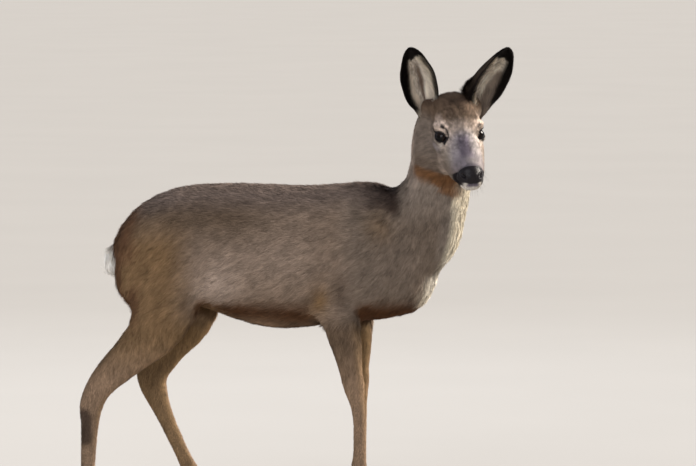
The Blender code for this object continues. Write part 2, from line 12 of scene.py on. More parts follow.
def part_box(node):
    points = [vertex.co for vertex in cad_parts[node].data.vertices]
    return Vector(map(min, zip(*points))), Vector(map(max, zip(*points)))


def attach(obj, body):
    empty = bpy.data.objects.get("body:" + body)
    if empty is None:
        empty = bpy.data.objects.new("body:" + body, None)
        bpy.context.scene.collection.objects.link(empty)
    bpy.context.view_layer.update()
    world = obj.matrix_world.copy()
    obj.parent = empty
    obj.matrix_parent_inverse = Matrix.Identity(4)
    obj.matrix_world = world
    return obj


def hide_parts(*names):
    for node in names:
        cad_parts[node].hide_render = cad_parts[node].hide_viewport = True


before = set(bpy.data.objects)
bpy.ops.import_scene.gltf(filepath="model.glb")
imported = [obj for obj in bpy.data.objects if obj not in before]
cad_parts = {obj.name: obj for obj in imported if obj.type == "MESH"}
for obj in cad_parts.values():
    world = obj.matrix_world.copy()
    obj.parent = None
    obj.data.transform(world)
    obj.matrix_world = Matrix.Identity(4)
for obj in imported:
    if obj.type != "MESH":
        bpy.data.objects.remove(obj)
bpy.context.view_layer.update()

bl_info = {
    "name": "Roe deer doe",
    "version": (1, 0, 0),
    "blender": (4, 5, 0),
    "location": "3D View > Sidebar > Doe",
    "description": "Skin, eyes, ears, claws and winter coat of a life-size roe deer doe",
    "category": "Mesh",
}

CM = 0.01
BODY = "root"
# The head's own frame: X along the palate towards the nose, Y to the doe's left, Z up.
# Its origin lies between the eyes.
HEAD_TURN = math.radians(-69.0)
HEAD_DIP = math.radians(21.0)
HEAD_ROLL = math.radians(3.0)
EYES_AHEAD = 0.4
# Where the head stands over the spot on the floor that the body's own measures start from, in centimetres.
HEAD_STANDS = np.array((34.61, -10.08, 76.1))
SIDES = {"left": 1.0, "right": -1.0}
# How far the balls sit in from their solids' middles, in centimetres, and their share of the solids' radius.
EYE_DEEPER = 0.30
EYE_SHARE = 0.97
# Height over the floor of the middle of the white rump patch, in the body's own centimetres.
RUMP_PATCH = 49.2


def box_of(node):
    low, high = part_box(node)
    return np.array(low), np.array(high)


def head_turn():
    """Rotation from the head's frame to the row's: roll, then dip, then turn."""
    turn = Matrix.Rotation(HEAD_TURN, 3, "Z") @ Matrix.Rotation(HEAD_DIP, 3, "Y")
    return np.array(turn @ Matrix.Rotation(HEAD_ROLL, 3, "X"))


HEAD = head_turn()
EYE_SOLID = {side: sum(box_of(f"eye_{side}")) / 2 for side in SIDES}
HEAD_AT = (EYE_SOLID["left"] + EYE_SOLID["right"]) / 2 - HEAD @ np.array((EYES_AHEAD * CM, 0, 0))
SPOT = HEAD_AT - HEAD_STANDS * CM
EYE = {side: EYE_SOLID[side] - HEAD @ np.array((0, EYE_DEEPER * SIDES[side], 0)) * CM for side in SIDES}
EYE_RADIUS = float(np.diff(box_of("eye_left"), axis=0).mean()) / 2 / CM * EYE_SHARE


def own(points):
    """Row places in metres to the body's own centimetres: +X to the chest, Y from its middle plane, Z up."""
    return (points - SPOT) / CM


def in_head(points):
    """Row places in metres to centimetres in the head's frame."""
    return ((points - HEAD_AT) / CM) @ HEAD


def from_head(points):
    return (points @ HEAD.T) * CM + HEAD_AT


def ramp(value, low, high):
    """0 below low, 1 above high, and a smooth S between them; high may lie below low."""
    t = np.clip((value - low) / (high - low), 0.0, 1.0)
    return t * t * (3 - 2 * t)


def bump(value, centre, reach):
    """A bell of height 1 at the centre that falls to about a third at its reach."""
    return np.exp(-(((value - centre) / reach) ** 2))


def unit(vectors):
    return vectors / np.maximum(np.linalg.norm(vectors, axis=-1, keepdims=True), 1e-12)


def dots(a, b):
    return (a * b).sum(-1)


def laid(ways, normals):
    """The ways laid flat on a surface, each one long."""
    return unit(ways - normals * dots(ways, normals)[:, None])


def lattice(cells, seed):
    """One number from -1 to 1 for each whole-numbered cell, from a mix of large primes."""
    mixed = cells[:, 0] * 73856093 ^ cells[:, 1] * 19349663 ^ cells[:, 2] * 83492791 ^ seed * 2654435761
    mixed = (mixed ^ (mixed >> 13)) * 1274126177 & 0x7FFFFFFF
    return (mixed ^ (mixed >> 16)) / 1073741823.5 - 1.0


def grain(points, size, seed):
    """Smooth value noise from -1 to 1: corner numbers of a grid of that size, blended by S curves."""
    place = points / size
    cell = np.floor(place).astype(np.int64)
    share = place - cell
    share = share * share * (3 - 2 * share)
    total = np.zeros(len(points))
    for corner in np.ndindex(2, 2, 2):
        step = np.array(corner)
        weight = np.where(step, share, 1 - share).prod(axis=1)
        total += weight * lattice(cell + step, seed)
    return total


def along_rows(rows, steps):
    """Catmull-Rom through every column of the rows, with that many steps from row to row."""
    rows = np.array(rows, float)
    ends = np.vstack((2 * rows[0] - rows[1], rows, 2 * rows[-1] - rows[-2]))
    t = np.arange(steps)[:, None] / steps
    found = []
    for a, b, c, d in zip(ends, ends[1:], ends[2:], ends[3:]):
        bend = (2 * a - 5 * b + 4 * c - d) * t**2 + (3 * b - a - 3 * c + d) * t**3
        found.append(0.5 * (2 * b + (c - a) * t + bend))
    return np.vstack((*found, rows[-1:]))


def to_line(points, line):
    """Distance of each point to a chain of straight pieces, and how far along it lies, from 0 to 1."""
    line = np.array(line, float)
    best, where = np.full(len(points), 1e9), np.zeros(len(points))
    for index, (a, b) in enumerate(zip(line, line[1:])):
        t = np.clip(((points - a) @ (b - a)) / ((b - a) @ (b - a)), 0, 1)
        distance = np.linalg.norm(points - a - t[:, None] * (b - a), axis=1)
        closer = distance < best
        best = np.where(closer, distance, best)
        where = np.where(closer, (index + t) / (len(line) - 1), where)
    return best, where


def mirrored(line, side):
    return [(x, y * side, z) for x, y, z in line]


def off_line(points, line, side=1):
    """Distance of each point to a chain that is given for the left side."""
    return to_line(points, mirrored(line, side))[0]


# ---------------------------------------------------------------- mesh handling


def read(items, key, size, kind=np.float32):
    """One value of every item of a mesh, as rows of an array."""
    found = np.empty(len(items) * size, kind)
    items.foreach_get(key, found)
    return found.reshape(-1, size)


def points_of(mesh):
    return read(mesh.vertices, "co", 3).astype(float)


def set_points(mesh, points):
    mesh.vertices.foreach_set("co", points.astype(np.float32).ravel())
    mesh.update()


def normals_of(mesh):
    return read(mesh.vertex_normals, "vector", 3).astype(float)


def triangles_of(mesh):
    mesh.calc_loop_triangles()
    return read(mesh.loop_triangles, "vertices", 3, np.int32)


def both_ways(mesh):
    """Every edge of a mesh from either end: the point where it starts and the one where it leads."""
    edges = read(mesh.edges, "vertices", 2, np.int32)
    return np.concatenate((edges[:, 0], edges[:, 1])), np.concatenate((edges[:, 1], edges[:, 0]))


def neighbour_mean(mesh):
    """A function that gives each point of the mesh the mean of its neighbours' values."""
    ends, others = both_ways(mesh)
    total = len(mesh.vertices)
    count = np.maximum(np.bincount(ends, minlength=total), 1)

    def mean(values):
        return np.stack([np.bincount(ends, near, total) / count for near in values[others].T], axis=1)

    return mean


def new_mesh(name, points, faces):
    """A mesh from places in metres and a list of arrays of faces, smooth shaded."""
    mesh = bpy.data.meshes.new(name)
    sizes = np.concatenate([np.full(len(f), f.shape[1], np.int32) for f in faces])
    corners = np.concatenate([f.astype(np.int32).ravel() for f in faces])
    mesh.vertices.add(len(points))
    mesh.vertices.foreach_set("co", points.astype(np.float32).ravel())
    mesh.loops.add(len(corners))
    mesh.loops.foreach_set("vertex_index", corners)
    mesh.polygons.add(len(sizes))
    mesh.polygons.foreach_set("loop_start", np.concatenate(([0], np.cumsum(sizes)[:-1])).astype(np.int32))
    mesh.update(calc_edges=True)
    mesh.shade_smooth()
    return mesh


def colour_points(mesh, colours, name="Coat"):
    """Keeps one colour for each vertex under the given name."""
    kept = mesh.attributes.new(name, "FLOAT_COLOR", "POINT")
    full = np.ones((len(colours), 4), np.float32)
    full[:, :3] = np.clip(colours, 0, 1)
    kept.data.foreach_set("color", full.ravel())


def number_points(mesh, numbers, name):
    kept = mesh.attributes.new(name, "FLOAT", "POINT")
    kept.data.foreach_set("value", numbers.astype(np.float32))


def add_piece(name, mesh, material, replaces=()):
    """Links a finished mesh as a piece that rides on the body and stands for the given solids."""
    piece = bpy.data.objects.new(name, mesh)
    bpy.context.scene.collection.objects.link(piece)
    mesh.materials.append(material)
    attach(piece, BODY)
    if replaces:
        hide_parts(*replaces)
    return piece


def grid_faces(rows, columns, closed):
    """Quads of a grid of rows by columns, joined round the last column if it is closed."""
    last = columns if closed else columns - 1
    row, column = np.meshgrid(np.arange(rows - 1), np.arange(last), indexing="ij")
    beside = (column + 1) % columns
    start, above = row * columns, (row + 1) * columns
    return np.stack((start + column, start + beside, above + beside, above + column), axis=-1).reshape(-1, 4)


def ring_angles(columns):
    return 2 * math.pi * np.arange(columns) / columns


def capped(points, rows, columns):
    """Faces of a closed tube of rows by columns, with a fan of triangles round a new point at each end."""
    first, last = points[:columns].mean(0), points[-columns:].mean(0)
    count = len(points)
    ring = np.arange(columns)
    beside = (ring + 1) % columns
    low = np.stack((np.full(columns, count), beside, ring), axis=1)
    base = (rows - 1) * columns
    high = np.stack((np.full(columns, count + 1), base + ring, base + beside), axis=1)
    return np.vstack((points, first, last)), [grid_faces(rows, columns, True), low, high]


# ---------------------------------------------------------------- settings


def length_property(name, description, default, low, high, precision=4):
    return FloatProperty(
        name=name, description=description, default=default, min=low, max=high,
        unit="LENGTH", precision=precision)


def count_property(name, description, default):
    return IntProperty(name=name, description=description, default=default, min=1000, max=66000)


class DoeShape(bpy.types.PropertyGroup):
    skin_grid: length_property("Skin grid", "Spacing of the skin's points on the body", 0.0048, 0.003, 0.01)
    trunk_coat: length_property("Trunk coat", "Depth of the coat on trunk and neck", 0.0068, 0.002, 0.02)
    leg_coat: length_property("Leg coat", "Depth of the coat on the lower legs", 0.0016, 0.0005, 0.006)
    head_coat: length_property("Head coat", "Depth of the coat on cheeks and forehead", 0.0028, 0.0005, 0.008)
    ear_wall: length_property("Ear wall", "Thickness of an ear without its hair", 0.0022, 0.001, 0.004)
    lid_length: FloatProperty(
        name="Eye opening", description="Half the angle between the corners of the lids",
        default=math.radians(66), min=0.5, max=1.3, subtype="ANGLE")
    claw_rings: IntProperty(
        name="Claw rings", description="Growth rings up each hoof", default=9, min=0, max=20)


def colour_property(name, description, default):
    return FloatVectorProperty(
        name=name, description=description, default=default, min=0.0, max=1.0, size=3, subtype="COLOR")


class DoeColours(bpy.types.PropertyGroup):
    back: colour_property("Back", "Slate brown along the top line", (0.150, 0.112, 0.092))
    flank: colour_property("Flank", "Grey brown of the sides", (0.215, 0.155, 0.112))
    haunch: colour_property("Haunch", "Warm brown of the thighs", (0.196, 0.120, 0.060))
    rust: colour_property("Rust", "Red brown round the rump patch", (0.120, 0.060, 0.032))
    # The saddle's brown is also painted as shade on the upper forelegs under the chest.
    saddle: colour_property("Saddle", "Darker brown of loin and croup", (0.108, 0.072, 0.046))
    pale: colour_property("Pale flank", "Beige of the lower flank", (0.370, 0.285, 0.225))
    belly: colour_property("Belly", "Dark rust along the belly", (0.072, 0.030, 0.012))
    tan: colour_property("Tan", "Tan behind the elbow and in the groin", (0.210, 0.125, 0.058))
    leg: colour_property("Leg", "Brown of the outer legs", (0.285, 0.190, 0.122))
    inner_leg: colour_property("Inner leg", "Cream of the inner legs", (0.240, 0.150, 0.072))
    # The dark tuft's colour is also painted as shade in the dip over the withers.
    gland: colour_property("Shank gland", "Dark tuft under the hock", (0.040, 0.026, 0.022))
    neck: colour_property("Neck", "Grey brown of the neck", (0.200, 0.160, 0.128))
    # The throat's cream is also painted as light on the forward-facing fronts of neck and chest.
    throat: colour_property("Throat", "Creamy front of the neck", (0.560, 0.500, 0.390))
    cheek: colour_property("Cheek", "Grey of the cheeks", (0.165, 0.130, 0.104))
    forehead: colour_property("Forehead", "Brown of the forehead", (0.108, 0.072, 0.048))
    # The crown's colour is also painted as shadow behind the upper foreleg.
    crown: colour_property("Crown", "Dark patch on the crown", (0.056, 0.035, 0.025))
    # The brow's pale colour is also painted as light along the back edge of the upper neck.
    brow: colour_property("Brow", "Pale patch over the eye", (0.640, 0.510, 0.420))
    bridge: colour_property("Bridge", "Violet grey bridge of the nose", (0.132, 0.110, 0.132))
    pale_grey: colour_property("Pale grey", "Cool grey under the eyes", (0.260, 0.232, 0.245))
    # Painted shadow: a warm dark tone laid on the throat under the jaw, where shade falls.
    jaw: colour_property("Jaw", "Rust under the jaw", (0.160, 0.075, 0.032))
    # The chin's white is also painted as light on the far side of the muzzle and, partly, just behind the
    # pad.
    chin: colour_property("Chin", "White of chin and lip", (0.560, 0.510, 0.450))
    # The black is also painted as shade in the fold over each eye.
    nose: colour_property("Nose", "Black of nose and lids", (0.010, 0.008, 0.009))
    ear_back: colour_property("Ear back", "Dark brown outside of the ears", (0.062, 0.044, 0.032))
    ear_rim: colour_property("Ear rim", "Black of rims and tips", (0.010, 0.007, 0.006))
    ear_inner: colour_property("Ear inside", "Pale hair in the ears", (0.850, 0.760, 0.640))
    ear_skin: colour_property("Ear skin", "Skin inside the ears", (0.130, 0.082, 0.060))
    rump: colour_property("Rump patch", "White of rump and tail tuft", (0.800, 0.760, 0.700))
    iris: colour_property("Iris", "Dark brown of the iris", (0.006, 0.003, 0.002))
    horn: colour_property("Horn", "Black brown of the claws", (0.028, 0.022, 0.018))


class DoeCoat(bpy.types.PropertyGroup):
    body_tufts: count_property("Body tufts", "Tufts on each of the four trunk pieces", 54000)
    leg_tufts: count_property("Leg tufts", "Tufts on each pair of legs", 50000)
    head_tufts: count_property("Head tufts", "Tufts on the head", 64000)
    ear_tufts: count_property("Ear tufts", "Tufts on both ears", 46000)
    neck_tufts: count_property("Neck tufts", "Tufts on the neck", 58000)
    length: length_property("Hair length", "Length of a tuft on the flank", 0.0190, 0.005, 0.05)
    width: length_property("Tuft width", "Width of a tuft on the flank", 0.00110, 0.0003, 0.004, 5)
    unevenness: FloatProperty(
        name="Unevenness", description="How much neighbouring tufts differ in tone",
        default=0.15, min=0.0, max=0.5)


class DoeStage(bpy.types.PropertyGroup):
    floor_colour: colour_property("Floor", "Pale floor and backdrop", (0.42, 0.41, 0.395))
    azimuth: FloatProperty(
        name="Camera azimuth", description="Where the camera stands round the doe",
        default=math.radians(8), subtype="ANGLE")
    elevation: FloatProperty(
        name="Camera elevation", description="How high the camera stands",
        default=math.radians(4), subtype="ANGLE")
    distance: FloatProperty(
        name="Camera distance", description="From the camera to the doe", default=10.0, unit="LENGTH")
    lens: FloatProperty(name="Lens", description="Focal length in millimetres", default=264.0)
    key_strength: FloatProperty(
        name="Key light", description="Strength of the broad distant light", default=8.2, min=0.0)


# ---------------------------------------------------------------- where things lie on the body


def regions(points):
    """Shares of head, neck, legs and trunk at row places, blending over a few centimetres.

    Head: ahead of a leaning plane behind the jaw, in the head's frame. Neck: what else lies above a plane
    that leans from withers to breast. Legs: what lies below the elbow and the stifle. Trunk: the rest.
    """
    body, face = own(points), in_head(points)
    high = ramp(body[:, 2], 58.0, 62.0)
    ahead = face[:, 0] + 0.42 * np.clip(face[:, 2] + 2, -7, 8)
    head = high * ramp(ahead, -8.6, -5.8) * ramp(face[:, 2], -10.2, -8.8)
    lean = (body[:, 0] - 20.0) * 0.75 + (body[:, 2] - 62.0) * 0.66
    neck = ramp(lean, -4.0, 3.0) * ramp(body[:, 2], 48.0, 56.0) * (1 - head)
    hind = ramp(body[:, 0], -8.0, -12.0)
    legs = ramp(body[:, 2], 43.0, 36.0) * hind + ramp(body[:, 2], 41.5, 38.0) * (1 - hind)
    legs = legs * (1 - ramp(body[:, 2], 36.4, 38.5) * bump(body[:, 1], 0.0, 3.0))
    trunk = np.clip(1 - head - neck - legs, 0, 1)
    return head, neck, legs, trunk


# The dark tufts under the hocks, right and left.
SHANK_GLANDS = ((-39.6, -6.4, 20.5), (-39.9, -6.2, 16.0)), ((-27.0, 6.4, 20.5), (-25.0, 6.2, 16.4))


def leg_middle(body):
    """Y of the middle of the leg that a place on the legs belongs to."""
    return np.sign(body[:, 1]) * 5.5


def plain(tone, count):
    return np.tile(np.array(tone), (count, 1))


def mixed(base, other, share):
    return base + (np.array(other) - base) * np.clip(share, 0, 1)[:, None]


def layered(tone, colours, *layers):
    """The tone with colours laid over it one after the other, each with its name and its share."""
    for name, share in layers:
        tone = mixed(tone, getattr(colours, name), share)
    return tone


def eye_frame(side):
    """Where an eye looks, the line from its inner to its outer corner, and up, in the head's frame.

    It looks forward, outward and a little up, the left one a little further out; the inner corner lies lower
    than the outer one.
    """
    sign = SIDES[side]
    ahead, out = {"left": (0.57, 0.82), "right": (0.69, 0.72)}[side]
    axis = unit(np.array((ahead, out * sign, 0.08)))
    along = unit(np.cross((0.0, 0.0, 1.0), axis)) * sign
    along = unit(along * math.cos(0.24) + np.cross(axis, along) * math.sin(0.24) * sign)
    return axis, along, np.cross(axis, along) * sign


def eye_place(face, side):
    """Angles of head places about an eye: along the lids, towards the crown, and distance from its middle."""
    axis, along, up = eye_frame(side)
    away = face - eye_middle(side)
    reach = np.linalg.norm(away, axis=1)
    toward = away / np.maximum(reach, 1e-9)[:, None]
    across = np.arctan2(toward @ along, toward @ axis)
    rise = np.arcsin(np.clip(toward @ up, -1, 1))
    return across, rise, reach, toward


LID_LINE = 0.20
LID_HEIGHTS = (0.60, 0.50)


def lid_edge(across, rise, half_length):
    """Distance in centimetres from the edge of the lids' opening, negative inside it.

    The opening is a lens about a line a little over the ball's middle: its half height falls to the corners
    as 1 - share of length squared, and its upper arc is the higher one, most so towards the nose.
    """
    above = rise - LID_LINE
    upper = LID_HEIGHTS[0] + 0.16 * ramp(-across, 0.0, 0.5)
    shape = (across / half_length) ** 2 + np.abs(above) / np.where(above > 0, upper, LID_HEIGHTS[1]) - 1
    return shape * 0.82


# The fold over each eye's inner half and the line from its inner corner, for the left side.
CREASE = ((0.70, 3.72, 2.35), (1.45, 3.06, 2.05), (2.40, 2.66, 1.15), (2.95, 2.72, 0.45))
TEAR = ((2.00, 3.10, 0.70), (2.60, 2.80, 0.20), (3.00, 2.78, -0.35))


# The pale arc over the eye, for the left side.
BROW_ARC = ((1.0, 3.3, 2.3), (-0.8, 4.3, 2.3), (-2.8, 3.6, 3.9))


def face_colours(face, colours, half_length):
    """Markings of the head: grey cheeks, brown forehead, pale brows, dark crown, white chin, black nose;
    painted light on the far side of the muzzle and, partly, just behind the pad; painted shade under the jaw
    and in the folds over the eyes.
    """
    x, y, z = face.T
    wide = np.abs(y)
    # Paler sides of the muzzle, with the far side, where the light falls, painted much paler as painted
    # light.
    pale_muzzle_and_lit_side = np.maximum(ramp(y, 0.2, 1.2), 0.45 * ramp(y, -2.2, -2.9)) * ramp(wide, 4.0, 3.2)
    pale_muzzle_and_lit_side = pale_muzzle_and_lit_side * (0.30 - 0.16 * ramp(y, 2.2, 3.0))
    over_eye = np.zeros(len(face))
    for sign in SIDES.values():
        away, along = to_line(face, mirrored(BROW_ARC, sign))
        away = away + 0.3 * grain(face, 0.8, 32) - 0.2 * ramp(-y, 0, 1)
        over_eye = np.maximum(over_eye, ramp(away, 1.2, 0.1) * ramp(along, 1.0, 0.3))
    whorl = bump(x, -3.2, 1.8) * bump(wide, 1.0, 1.7) * ramp(z, 2.4, 4.0)
    beneath = bump(z, -2.0, 0.7) * bump(x, 0.6, 2.2) * ramp(wide, 3.0, 3.8)
    chin = ramp(x, 6.2, 8.0) * ramp(z, -5.0, -5.5) * np.maximum(ramp(wide, 2.0, 1.4), ramp(x, 10.2, 10.9))
    above = -3.3 - 0.75 * np.clip(9.7 - x, -1.0, 3.0)
    lowest = -5.25 - 1.3 * ramp(x, 11.3, 10.3)
    beside = ramp(x, 7.6, 8.8) * ramp(wide, 1.4, 1.8)
    beside = beside * ramp(z - lowest, -0.2, 0.1) * ramp(above - z, -0.15, 0.2)
    spot = bump(wide, 1.40, 0.34) * ramp(z, -4.45, -4.85) * ramp(x, 10.6, 11.4)
    tone = layered(
        plain(colours.cheek, len(face)), colours,
        ("forehead", ramp(z, 0.6, 3.2) * ramp(x, 2.6, 0.4)),
        ("forehead", 0.5 * ramp(z, -3.5, -6.5) * ramp(x, 5.0, 1.0)),
        ("pale_grey", 0.8 * ramp(x, 2.0, 4.2) * ramp(wide, 3.6, 2.4) * ramp(z, -3.8, -1.4)),
        ("bridge", ramp(x, 3.0, 5.0) * ramp(wide, 2.0, 0.9)),
        ("brow", 0.30 * bump(x, 2.3, 1.2) * ramp(wide, 3.4, 2.4) * ramp(z, 0.2, 1.6)),
        ("chin", pale_muzzle_and_lit_side * ramp(x, 2.2, 3.6) * ramp(x, 10.4, 9.4) * ramp(z, -3.8, -2.2)),
        # A pale band across the muzzle just behind the pad: partly pale hair, partly a painted highlight.
        ("chin", 0.70 * bump(x, 9.4, 0.9) * bump(y, 0.4, 1.5)),
        ("brow", over_eye),
        ("brow", 0.35 * bump(x, 3.0, 2.2) * bump(wide, 2.9, 1.0)),
        ("crown", 0.70 * whorl * (0.75 + 0.5 * grain(face, 0.55, 33))),
        ("crown", 0.95 * ramp(x, -4.4, -6.2) * ramp(z, 2.0, 4.0)),
        ("pale_grey", 0.45 * beneath),
        ("bridge", 0.5 * ramp(x, 6.0, 8.8) * ramp(z, -5.0, -3.0)),
        # Painted shadow under the jaw.
        ("jaw", 0.85 * ramp(z, -6.9, -7.9) * ramp(x, 5.5, 3.0)),
        ("chin", chin),
        ("nose", 0.97 * beside),
        ("nose", pad_share(face)),
        ("chin", np.clip(0.9 * spot, 0, 1)),
    )
    speckle = 1.15 * ramp(z, -3.5, 0.0) * ramp(x, -4.5, -2.5) * ramp(x, 8.0, 4.0)
    tone = tone * (1 + 0.55 * speckle * grain(face, 0.34, 34))[:, None]
    streaks = grain(face * (0.45, 1.0, 0.8), 0.55, 35) * ramp(x, 9.0, 7.0)
    tone = tone * (1 + 0.16 * streaks)[:, None]
    for side, sign in SIDES.items():
        across, rise, reach, _ = eye_place(face, side)
        edge = lid_edge(across, rise, half_length)
        near = ramp(y * sign, 1.4, 2.4) * ramp(reach, 2.7, 2.3)
        ring = bump(edge, 0.55, 0.22) * near
        slit = np.abs(rise - LID_LINE - 0.10 * across) / 0.28 + (across / (1.45 * half_length)) ** 2
        outer = ramp(edge, 0.95, 0.70) * bump(rise, 0.22, 0.26) * ramp(across, 0.5, 0.9)
        dark = np.maximum(ramp(edge, 0.30, 0.14), np.maximum(ramp(slit, 1.10, 0.85), outer))
        tone = layered(
            tone, colours,
            ("chin", 0.45 * ring * ramp(rise, 0.3, -0.2)),
            ("nose", near * dark),
            # Painted shade: black along the fold over each eye, stronger over the near eye.
            ("nose", (0.95 if side == "right" else 0.5) * ramp(off_line(face, CREASE, sign), 0.42, 0.18)),
            ("nose", 0.8 * ramp(off_line(face, TEAR, sign), 0.30, 0.10)),
        )
    return tone


def pad_share(face):
    """How far a place belongs to the bare nose pad: the blunt front, down to the upper lip."""
    x, y, z = face.T
    wide = np.abs(y)
    return ramp(x - (10.52 - 0.12 * wide**2), -0.15, 0.15) * ramp(z, -4.95, -4.65) * ramp(wide, 2.9, 2.6)


def coat_colours(points, normals, colours, half_length):
    """Markings over the whole doe, from places and the skin's outward directions, with light and shade
    painted in at some places: shade in the withers' dip, behind and on the upper forelegs and under the jaw,
    light on the fronts of neck and chest and on the back edge of the upper neck.
    """
    body, face = own(points), in_head(points)
    head, neck, legs, trunk = regions(points)
    x, y, z = body.T
    count = len(points)
    forward, rise = normals[:, 0], normals[:, 2]

    breast = ramp(forward + 0.10 * grain(body, 1.3, 37), 0.66, 0.90) * ramp(x, 23.0, 26.0)
    behind = ramp(forward, -0.15, -0.55) * ramp(x, -24.0, -29.0)
    patch = (y / 5.0) ** 2 + ((z - RUMP_PATCH) / 5.4) ** 2 + 0.12 * grain(body, 1.6, 31)
    sides = layered(
        plain(colours.flank, count), colours,
        ("neck", 0.8 * ramp(x, 10.0, 17.0)),
        ("saddle", 0.35 * ramp(x, 12.0, 17.0)),
        ("pale", 0.8 * bump(x, -11.5, 5.0) * bump(z, 47.0, 5.0)),
        ("pale", 0.3 * bump(x, 0.0, 9.0) * bump(z, 52.0, 5.0)),
        ("saddle", 0.8 * ramp(x, 4.0, -10.0) * ramp(z, 53.0, 60.0)),
        ("haunch", ramp(x, -15.0, -23.0) * ramp(z, 61.0, 54.0)),
        ("back", ramp(rise, 0.30, 0.80) * ramp(z, 57.0, 63.0)),
        # Painted shade in the dip behind the neck base over the withers: near black at the top, fading to
        # warm brown below.
        ("haunch", 0.5 * bump(x, 19.6, 2.6) * bump(z, 59.0, 2.8)),
        ("gland", bump(x, 22.2, 1.4) * ramp(z, 60.2, 62.0)),
        ("belly", ramp(rise, -0.20, -0.70) * ramp(z, 48.0, 42.0)),
        ("tan", 0.8 * bump(x, -14.0, 2.8) * ramp(z, 44.0, 41.0)),
        ("tan", 0.9 * bump(x, 8.3, 1.7) * bump(z, 44.0, 3.0)),
        # Painted shadow behind the upper foreleg, in the dark crown colour, on parts that do not face up.
        ("crown", 0.5 * bump(x, 12.5, 1.6) * bump(z, 46.0, 3.5) * ramp(rise, 0.3, 0.0)),
        # Cream on the forward-facing front of the chest: partly the pale breast, partly painted light where
        # the light falls on the front edge.
        ("throat", 0.9 * breast),
        ("rump", 0.70 * breast * ramp(x, 26.0, 30.0)),
        ("rust", 0.85 * behind),
        ("rump", ramp(patch, 1.10, 0.85) * ramp(x, -27.0, -30.5)),
    )

    away = (y - leg_middle(body)) * np.sign(y)
    inner = ramp(-normals[:, 1] * np.sign(y), 0.15, 0.65) * ramp(away, 1.0, -0.4)
    gland = np.minimum(*(to_line(body, line)[0] for line in SHANK_GLANDS))
    shanks = layered(
        plain(colours.leg, count), colours,
        ("haunch", ramp(z, 26.0, 38.0) * ramp(x, -10.0, -14.0)),
        # Painted shade: the upper forelegs darker in the shade under the chest.
        ("saddle", 0.85 * ramp(z, 24.0, 36.0) * ramp(x, -2.0, 2.0)),
        ("inner_leg", 0.80 * inner * ramp(z, 4.0, 9.0)),
        ("inner_leg", 0.30 * ramp(forward, 0.3, 0.9) * ramp(z, 10.0, 22.0)),
        ("gland", 0.8 * ramp(gland, 2.0, 1.1)),
        ("leg", 0.5 * ramp(z, 8.0, 3.0)),
    )

    axis = np.stack((28.4 + 0.14 * (z - 64.0), -1.4 - 0.13 * (z - 64.0)), axis=1)
    off = body[:, :2] - axis
    turned = np.arctan2(off[:, 1], off[:, 0]) + math.radians(14.0) + math.radians(7.0) * ramp(z, 56.0, 72.0)
    facing = np.cos(turned)
    necks = layered(
        plain(colours.neck, count), colours,
        # Cream along the forward-facing front of the neck: partly the pale throat, partly painted light on
        # the lit front edge.
        ("throat", 0.95 * ramp(facing, 0.82, 0.91) * ramp(z, 44.0, 50.0)),
        # Painted light: the pale brow colour along the back edge of the upper neck, where light catches it.
        ("brow", 0.35 * bump(facing, -0.35, 0.3) * ramp(z, 62.0, 70.0)),
        ("brow", 0.60 * ramp(facing, -0.3, -0.7) * ramp(z, 66.0, 72.0)),
        ("back", 0.6 * ramp(facing, -0.8, -1.0)),
        # Painted shade in the dip behind the neck base, where the neck meets the withers.
        ("gland", 0.95 * ramp(x, 24.0, 22.0) * ramp(z, 59.8, 62.0)),
        ("saddle", 0.5 * ramp(z, 66.0, 58.0) * ramp(facing, 0.8, 0.6)),
    )

    fx, fy, fz = face.T
    # Painted shadow under the jaw: the warm dark shadow colour laid on the upper throat, on head and neck
    # alike.
    lowest = -11.9 + 0.62 * np.clip(np.abs(fy - 2.2) - 2.7, 0, 5)
    under = ramp(fz, -7.4, -8.4) * ramp(fz - lowest, -0.5, 0.5) * ramp(fx, -3.2, -0.8)
    cream = bump(fy, 2.2, 1.6) * ramp(fz, -8.6, -9.6) * ramp(fx, -5.0, -2.0)
    beneath = ("jaw", 0.9 * under), ("throat", cream)
    necks = layered(necks, colours, *beneath)
    heads = layered(face_colours(face, colours, half_length), colours, *beneath)
    total = np.maximum(head + neck + legs + trunk, 1e-6)
    blend = sides * trunk[:, None] + shanks * legs[:, None] + necks * neck[:, None] + heads * head[:, None]
    return blend / total[:, None]


def coat_depth(points, shape):
    """How far the skin lies under the coat's tips, in metres."""
    body, face = own(points), in_head(points)
    head, neck, legs, trunk = regions(points)
    full, thin, short = shape.trunk_coat, shape.leg_coat, shape.head_coat
    leg = thin + (0.62 * full - thin) * ramp(body[:, 2], 24.0, 41.0)
    leg = leg * ramp(body[:, 2], 1.4, 3.0) + 0.0018 * ramp(body[:, 2], 3.0, 1.4)
    on_face = short * (1 - 0.62 * ramp(face[:, 0], 1.0, 7.0)) * (1 - 0.9 * ramp(face[:, 0], 9.4, 10.2))
    neck_depth = full * (1 - 0.25 * ramp(body[:, 2], 66.0, 80.0))
    depth = full * trunk + neck_depth * neck + leg * legs + on_face * head
    return depth / np.maximum(head + neck + legs + trunk, 1e-6)


